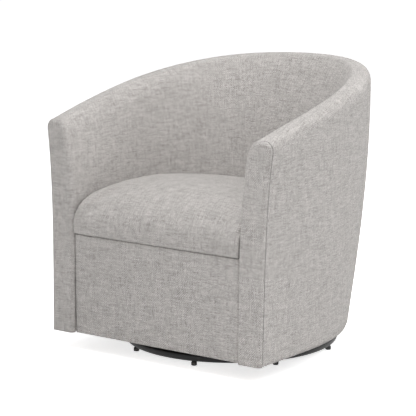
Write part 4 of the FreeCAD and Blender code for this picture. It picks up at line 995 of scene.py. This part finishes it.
under = {
    "deckHalf": 0.2756, "deckFront": -0.3674, "deckLow": 0.3221, "deckHigh": 0.3301,
    "clothTop": 0.1037, "clothThick": 0.0005, "clothFront": -0.3421, "clothInset": 0.0099,
    "hole": 0.125, "axis": -0.040, "sag": 0.004,
    "deckPoints": 60, "deckEdge": 0.0012, "quilt": 0.0006, "quiltPitch": 0.04,
    "clothPoints": 241, "clothRings": 14, "pucker": 0.0007,
    "stapleStep": 0.036, "stapleLong": 0.010, "stapleWire": 0.0008, "stapleInset": 0.007,
}


def slab(name, grid, thickness, material):
    # A thin closed sheet: the grid is its upper side; grid is rows x columns x 3
    rows, columns = grid.shape[:2]
    upper = grid.reshape(-1, 3)
    lower = upper - [0, 0, thickness]
    faces, count = [], rows * columns
    for quad in sheetFaces(rows, columns):
        faces += [quad, tuple(count + quad[k] for k in (0, 3, 2, 1))]
    ring = gridRing(rows, columns)
    for n, m in zip(ring, ring[1:] + ring[:1]):
        faces.append((n, n + count, m + count, m))
    return addPiece(name, np.concatenate([upper, lower]), faces, material)


def makeDeck():
    # Needled felt, quilted slightly by the springs below it
    u = under
    count = u["deckPoints"]
    grid = np.zeros((count, count, 3))
    for i in range(count):
        for j in range(count):
            a, q = -1 + 2 * j / (count - 1), i / (count - 1)
            if q < 0.5:
                x, y = u["deckHalf"] * a, u["deckFront"] + (cushion["centre"] - u["deckFront"]) * q * 2
            else:
                x, y = roundPlan(a, q * 2 - 1, u["deckHalf"], u["deckHalf"])
            edge = min(1 - abs(a), q, 1 - q) / 0.04
            quilt = u["quilt"] * math.sin(x / u["quiltPitch"] * math.pi) ** 2
            grid[i, j] = x, y, u["deckHigh"] - u["deckEdge"] * max(0, 1 - edge) - quilt
    return slab("seat_deck_felt", grid, u["deckHigh"] - u["deckLow"] - 0.002, finishes["felt"])


def clothOutline(inset):
    # Plan of the underside from the front right corner round the back to the front left one
    z = under["clothTop"]
    shares = [s for s in np.linspace(1, 0.02, 14) if Cut(share=s).y > under["clothFront"] + 0.004]
    right = [Cut(share=s) for s in shares] + [Cut(angle=a) for a in np.linspace(0, 90, 34)]
    line = [cut.place(np.array([cut.outer(z) - inset]), np.array([z]))[0] for cut in right]
    first = np.array([line[0][0], under["clothFront"] + inset - under["clothInset"], z])
    line = np.array([first] + line)
    return np.concatenate([line, line[-2::-1] * [-1, 1, 1]])


def makeDustCloth():
    # Stretched under the frame between its rim and the edge of the opening for the mechanism
    u = under
    outer = clothOutline(u["clothInset"])
    front = np.linspace(outer[-1], outer[0], 24)[1:]
    outer = resample(np.concatenate([outer, front]), u["clothPoints"])
    middle = np.array([0, u["axis"], u["clothTop"]])
    rings = u["clothRings"]
    grid = np.zeros((len(outer), rings, 3))
    for i, point in enumerate(outer):
        toward = point - middle
        reach = u["hole"] / max(abs(toward[0]), abs(toward[1]))
        for j in range(rings):
            share = j / (rings - 1)
            place = middle + toward * (1 + (reach - 1) * share)
            slack = 4 * share * (1 - share)
            pull = u["pucker"] * math.sin(i * 0.9 + 2.0 * math.sin(i * 0.13)) * slack * (1 - 0.5 * share)
            grid[i, j] = place[0], place[1], u["clothTop"] - u["sag"] * slack + pull
    area = 0.0
    for i in range(len(outer) - 1):
        for a, b, sign in ((outer[i], outer[i + 1], 1), (grid[i, -1], grid[i + 1, -1], -1)):
            area += sign * (a[0] * b[1] - b[0] * a[1]) / 2
    piece = slab("dust_cloth", grid, u["clothThick"], finishes["black_cambric"])
    size = outer.max(0) - outer.min(0)
    return piece, (float(size[0]), float(size[1])), abs(float(area))


def makeStaples():
    # One staple at every step along the rim of the dust cloth
    u = under
    rim = clothOutline(u["clothInset"] + u["stapleInset"])
    start = bpy.data.meshes.new("staple_path")
    start.from_pydata([tuple(p) for p in rim], [(i, i + 1) for i in range(len(rim) - 1)], [])
    sizes = {"Step": u["stapleStep"], "Length": u["stapleLong"], "Wire": u["stapleWire"], "Drop": u["clothThick"]}
    group, tree, given = groupWith("staples", sizes)
    path = tree.add("GeometryNodeMeshToCurve", None, {"Mesh": given})
    inputs = {"Curve": path, "Length": given.out("Step")}
    spots = tree.add("GeometryNodeResampleCurve", {"mode": "LENGTH"}, inputs)
    size = tree.vector(given.out("Length"), given.out("Wire"), given.out("Wire") * 0.7)
    bar = tree.add("GeometryNodeMeshCube", None, {"Size": size})
    tangent = tree.add("GeometryNodeInputTangent")
    turn = tree.add("FunctionNodeAlignRotationToVector", {"axis": "X"}, {"Vector": tangent})
    placed = tree.add("GeometryNodeInstanceOnPoints", None, {"Points": spots, "Instance": bar, "Rotation": turn})
    drop = tree.vector(0.0, 0.0, given.out("Drop") * -1.0 - given.out("Wire") * 0.3)
    lowered = tree.add("GeometryNodeTranslateInstances", None, {"Instances": placed, "Translation": drop})
    endGroup(tree, lowered, finishes["zinc_steel"])
    return grow("dust_cloth_staples", group, sizes, start)


# Rocking springs, a coil on each of four places

coils = {
    "side": 0.046, "place": 0.080, "axis": -0.040, "low": 0.0634, "high": 0.1456,
    "radius": 0.019, "wire": 0.0024, "turns": 7.0,
}


def makeRockingCoils():
    c = coils
    start = bpy.data.meshes.new("coil_places")
    spots = [(c["side"] * i, c["axis"] + c["place"] * k, c["low"]) for i in (-1, 1) for k in (-1, 1)]
    start.from_pydata(spots, [], [])
    sizes = {"Turns": c["turns"], "Radius": c["radius"], "Height": c["high"] - c["low"], "Wire": c["wire"]}
    group, tree, given = groupWith("rockingCoils", sizes)
    radius = given.out("Radius")
    line = tree.add("GeometryNodeCurveSpiral", None, {
        "Resolution": 28, "Rotations": given.out("Turns"), "Start Radius": radius, "End Radius": radius,
        "Height": given.out("Height")})
    ring = tree.add("GeometryNodeCurvePrimitiveCircle", None, {"Resolution": 10, "Radius": given.out("Wire")})
    coil = tree.add("GeometryNodeCurveToMesh", None, {"Curve": line, "Profile Curve": ring, "Fill Caps": True})
    placed = tree.add("GeometryNodeInstanceOnPoints", None, {"Points": given, "Instance": coil})
    endGroup(tree, placed, finishes["spring_steel"])
    piece = grow("rocking_coils", group, sizes, start)
    repairNormals(piece)
    return piece


rockingCoils = makeRockingCoils()
print("rocking coils made:", len(rockingCoils.data.polygons), "faces")

seatDeck = makeDeck()
dustCloth, clothSize, clothArea = makeDustCloth()
staples = makeStaples()
print("underside made:", len(staples.data.polygons), "staple faces; cloth area", round(clothArea, 4))


# Simulation, then every piece joins its body

# Simulation, then the pieces join their bodies; the rocking coils only have their place baked into the mesh
def simulateCushion():
    points = np.array([v.co for v in seatCushion.data.vertices], float)
    # Held at its foot, free higher up
    pinned = np.clip((cushion["low"] + cushion["held"] - points[:, 2]) / cushion["heldFade"], 0, 1)
    # The swelling fades towards the back, where the cushion is pressed into the barrel
    backward = np.clip((points[:, 1] - cushion["centre"]) / cushion["back"], 0, 1)
    cap = cushion["cap"] * (1 - cushion["backFade"] * backward)
    reached = swell(seatCushion, pinned, cushion["pressure"], cap)
    print("cushion swelled by at most", round(float(reached[0]), 4), reached[1].round(4))


def bodyPiece(piece, body, slot, *nodes):
    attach(piece, body)
    if nodes:
        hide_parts(*nodes)


simulateCushion()

dressed = [
    (barrelCover, "woven_fabric", ["inside_pad_left", "inside_pad_back", "inside_pad_right",
                                   "outer_cover_left", "outer_cover_back", "outer_cover_right"], 0.9),
    (armFronts[0], "woven_fabric", ["arm_front_right"], 0.85),
    (armFronts[1], "woven_fabric", ["arm_front_left"], 0.85),
    (seatCushion, "woven_fabric", ["seat_cushion"], 0.75),
    (frontApron, "woven_fabric", ["front_apron"], 0.7),
]
for piece, slot, nodes, fill in dressed:
    bodyPiece(piece, "chair", slot, *nodes)
bodyPiece(seatDeck, "chair", "felt", "seat_deck")
bodyPiece(dustCloth, "chair", "black_cambric", "dust_cover")
bodyPiece(staples, "chair", "zinc_steel")
bodyPiece(baseRing, "base", "black_steel", "base_ring")
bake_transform(rockingCoils)
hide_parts("rock_springs")


# Floor, light and camera

stage = {
    "floor": 0.93, "floorHalf": 30, "lift": 0.75, "world": 0.03,
    # place, side and power of each lamp
    "lamps": {
        "top": ((0.3, -0.3, 3.6), 3.0, 62.0),
        "topFront": ((0.7, -1.7, 3.0), 1.4, 40.5),
        "rightBack": ((3.0, 2.0, 2.6), 2.4, 102.0),
        "left": ((-3.4, -1.6, 1.9), 2.6, 47.0),
        "frontRight": ((1.7, -2.3, 1.3), 1.2, 16.5),
        "back": ((-0.8, 3.2, 2.8), 2.4, 16.0),
    },
    "lampAim": (0, 0, 0.35),
    "camera": (3.24744, -4.57769, 1.45108), "aim": (-0.02735, -0.11125, 0.38689), "lens": 176.67,
}


def seenDirectly(tree):
    rays = tree.add("ShaderNodeLightPath")
    bent = rays.maths("MAXIMUM", rays.out("Is Glossy Ray"), rays.out("Is Transmission Ray"))
    return rays.maths("MAXIMUM", rays.out("Is Camera Ray"), bent)


def makeFloor():
    mesh = bpy.data.meshes.new("floor")
    half = stage["floorHalf"]
    corners = [(half * i, half * j, 0) for i, j in ((-1, -1), (1, -1), (1, 1), (-1, 1))]
    mesh.from_pydata(corners, [], [(0, 1, 2, 3)])
    floor = bpy.data.objects.new("floor", mesh)
    scene.collection.objects.link(floor)
    tree = newMaterial("paleFloor")
    white = stage["floor"]
    matt = tree.add("ShaderNodeBsdfDiffuse", None, {"Color": (white, white, white, 1)})
    away = tree.objectPlace().length()
    lift = stage["lift"] + ((away - 0.5) * 0.5).clamp() * (1 - stage["lift"])
    glow = tree.add("ShaderNodeEmission", None, {"Color": (1, 1, 1, 1), "Strength": seenDirectly(tree) * lift})
    both = tree.add("ShaderNodeAddShader", None, {0: matt, 1: glow})
    tree.add("ShaderNodeOutputMaterial", None, {"Surface": both})
    mesh.materials.append(tree.material)
    floor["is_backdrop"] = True


def makeWorld():
    world = bpy.data.worlds.new("studio")
    world.use_nodes = True
    tree = Tree(world.node_tree)
    tree.nodes.clear()
    seen = seenDirectly(tree)
    strength = seen * (1 - stage["world"]) + stage["world"]
    background = tree.add("ShaderNodeBackground", None, {"Color": (1, 1, 1, 1), "Strength": strength})
    tree.add("ShaderNodeOutputWorld", None, {"Surface": background})
    scene.world = world


def turnTo(thing, place, aim):
    thing.location = place
    thing.rotation_euler = (Vector(aim) - Vector(place)).to_track_quat("-Z", "Y").to_euler()


def addLamp(name, place, power, size):
    lamp = bpy.data.lights.new(name, "AREA")
    lamp.energy, lamp.size = power, size
    holder = bpy.data.objects.new(name, lamp)
    turnTo(holder, place, stage["lampAim"])
    scene.collection.objects.link(holder)


def makeCamera():
    camera = bpy.data.objects.new("camera", bpy.data.cameras.new("camera"))
    turnTo(camera, stage["camera"], stage["aim"])
    camera.data.sensor_width, camera.data.lens = 36, stage["lens"]
    camera.data.clip_end = 100
    scene.collection.objects.link(camera)
    scene.camera = camera


makeFloor()
makeWorld()
for lampName, (place, size, power) in stage["lamps"].items():
    addLamp(lampName, place, power, size)
makeCamera()
scene.view_settings.view_transform = "Standard"

low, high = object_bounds()
for name, start, end in (("cad", cadLow, cadHigh), ("visual", low, high)):
    print(name, "size:", [round(b - a, 4) for a, b in zip(start, end)])
